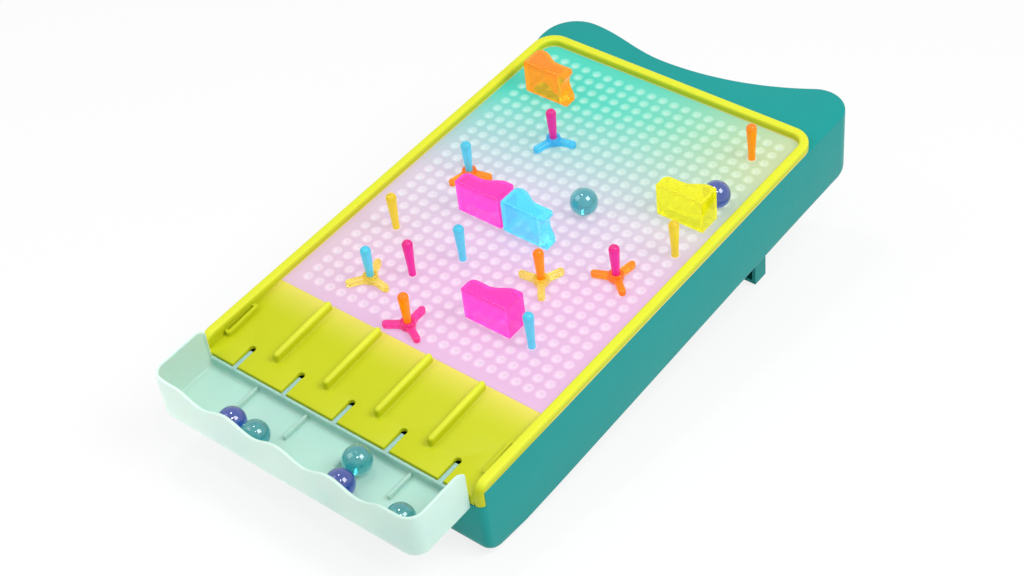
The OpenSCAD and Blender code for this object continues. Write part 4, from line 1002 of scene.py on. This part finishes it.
# CAD pieces that stay as they are, with their finishes
KEPT = {
    "stand": TEAL, "battery_door": TEAL, "stand_pads": RUBBER, "stand_pins": STEEL,
    "door_screw": STEEL, "casing_screws": STEEL, "power_switch": BLACK, "switch_body": BLACK,
    "battery_box": BLACK, "batteries": STEEL, "battery_contacts": BRASS, "lead_wires": WIRE_RED,
    "control_board": CIRCUIT, "led_board": CIRCUIT, "leds": GLOWING_WHITE.material, "diffuser_sheet": PANEL,
    # The reflector's glow is painted light
    "reflector": GLOWING_WHITE.material,
}
for node, finish in KEPT.items():
    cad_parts[node].data.materials.clear()
    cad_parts[node].data.materials.append(finish)


# Table, light and camera, which was fitted to the grid of holes in board coordinates
TABLE_HALF, TABLE_WHITE, SKY = 4.0, 0.82, 0.42
AIM, AIM_NEAR = (0, 0.13, 0.05), (0, 0.1, 0.05)
SENSOR, LENS = 36.0, 67.77
CAMERA_PLACE = (525.1, -416.4, 720.8)
CAMERA_RIGHT, CAMERA_UP = (0.7862, 0.6108, -0.0939), (-0.3777, 0.5952, 0.7092)
CAMERA_BACK = (0.4891, -0.5221, 0.6987)


def looked_at(tree):
    """One for rays from the camera, in gloss or through glass, and nought for the light on the object."""
    path = tree.nodes.new("ShaderNodeLightPath")
    seen = [Wire(tree, path.outputs[f"Is {kind} Ray"]) for kind in ("Camera", "Glossy", "Transmission")]
    return (seen[0] + seen[1] + seen[2]).clamp()


def white_ground():
    """Pale floor that looks white to the camera, and in gloss and glass, yet keeps a soft shadow. From
    below it is clear."""
    finish = Finish("table", roughness=0.9)
    tree, link = finish.tree, finish.tree.links.new
    finish.set("Base Color", shade("#f2f2f2"))
    white = finish.node("ShaderNodeEmission", None, {"Color": (1, 1, 1, 1), "Strength": 1.0})
    blend, under = (tree.nodes.new("ShaderNodeMixShader") for _ in range(2))
    join(tree, blend.inputs[0], looked_at(tree) * TABLE_WHITE)
    link(finish.shader.outputs[0], blend.inputs[1])
    link(white.socket, blend.inputs[2])
    join(tree, under.inputs[0], finish.node("ShaderNodeNewGeometry", output="Backfacing"))
    link(blend.outputs[0], under.inputs[1])
    link(finish.node("ShaderNodeBsdfTransparent").socket, under.inputs[2])
    link(under.outputs[0], tree.nodes["Material Output"].inputs["Surface"])
    return finish.material


floor_mesh = bpy.data.meshes.new("table_top")
corners = [(x * TABLE_HALF, y * TABLE_HALF, 0) for x, y in ((-1, -1), (1, -1), (1, 1), (-1, 1))]
floor_mesh.from_pydata(corners, [], [(0, 1, 2, 3)])
floor_mesh.materials.append(white_ground())
floor = bpy.data.objects.new("table_top", floor_mesh)
scene.collection.objects.link(floor)

world = bpy.data.worlds.new("studio")
scene.world = world
world.use_nodes = True
tree = world.node_tree
background = tree.nodes["Background"]
background.inputs["Color"].default_value = (1, 1, 1, 1)
join(tree, background.inputs["Strength"], looked_at(tree) * (1 - SKY) + SKY)


def lamp(name, place, aim, size, power):
    """Square soft light at a place, turned to face a point, both in metres."""
    data = bpy.data.lights.new(name, "AREA")
    data.energy, data.size = power, size
    thing = bpy.data.objects.new(name, data)
    thing.location = place
    thing.rotation_mode = "QUATERNION"
    thing.rotation_quaternion = (Vector(aim) - Vector(place)).to_track_quat("-Z", "Y")
    scene.collection.objects.link(thing)


lamp("key", (0.9, 0.2, 1.2), AIM, size=0.7, power=12)
lamp("fill", (-0.8, -0.7, 1.1), AIM, size=0.9, power=5)
lamp("glint_right", (0.45, -0.35, 1.1), AIM_NEAR, size=0.11, power=2.0)
lamp("glint_left", (-0.25, 0.1, 1.2), AIM_NEAR, size=0.11, power=2.0)

camera_data = bpy.data.cameras.new("camera")
camera_data.sensor_fit, camera_data.sensor_width, camera_data.lens = "HORIZONTAL", SENSOR, LENS
camera = bpy.data.objects.new("camera", camera_data)
scene.collection.objects.link(camera)
tilt = np.array([[1, 0, 0], [0, COS, -SIN], [0, SIN, COS]])
axes = tilt @ np.stack([CAMERA_RIGHT, CAMERA_UP, CAMERA_BACK], 1)
place = on_board([CAMERA_PLACE])[0]
camera.matrix_world = Matrix.Translation(Vector(place)) @ Matrix(axes.tolist()).to_4x4()
scene.camera = camera
scene.view_settings.view_transform = "Standard"
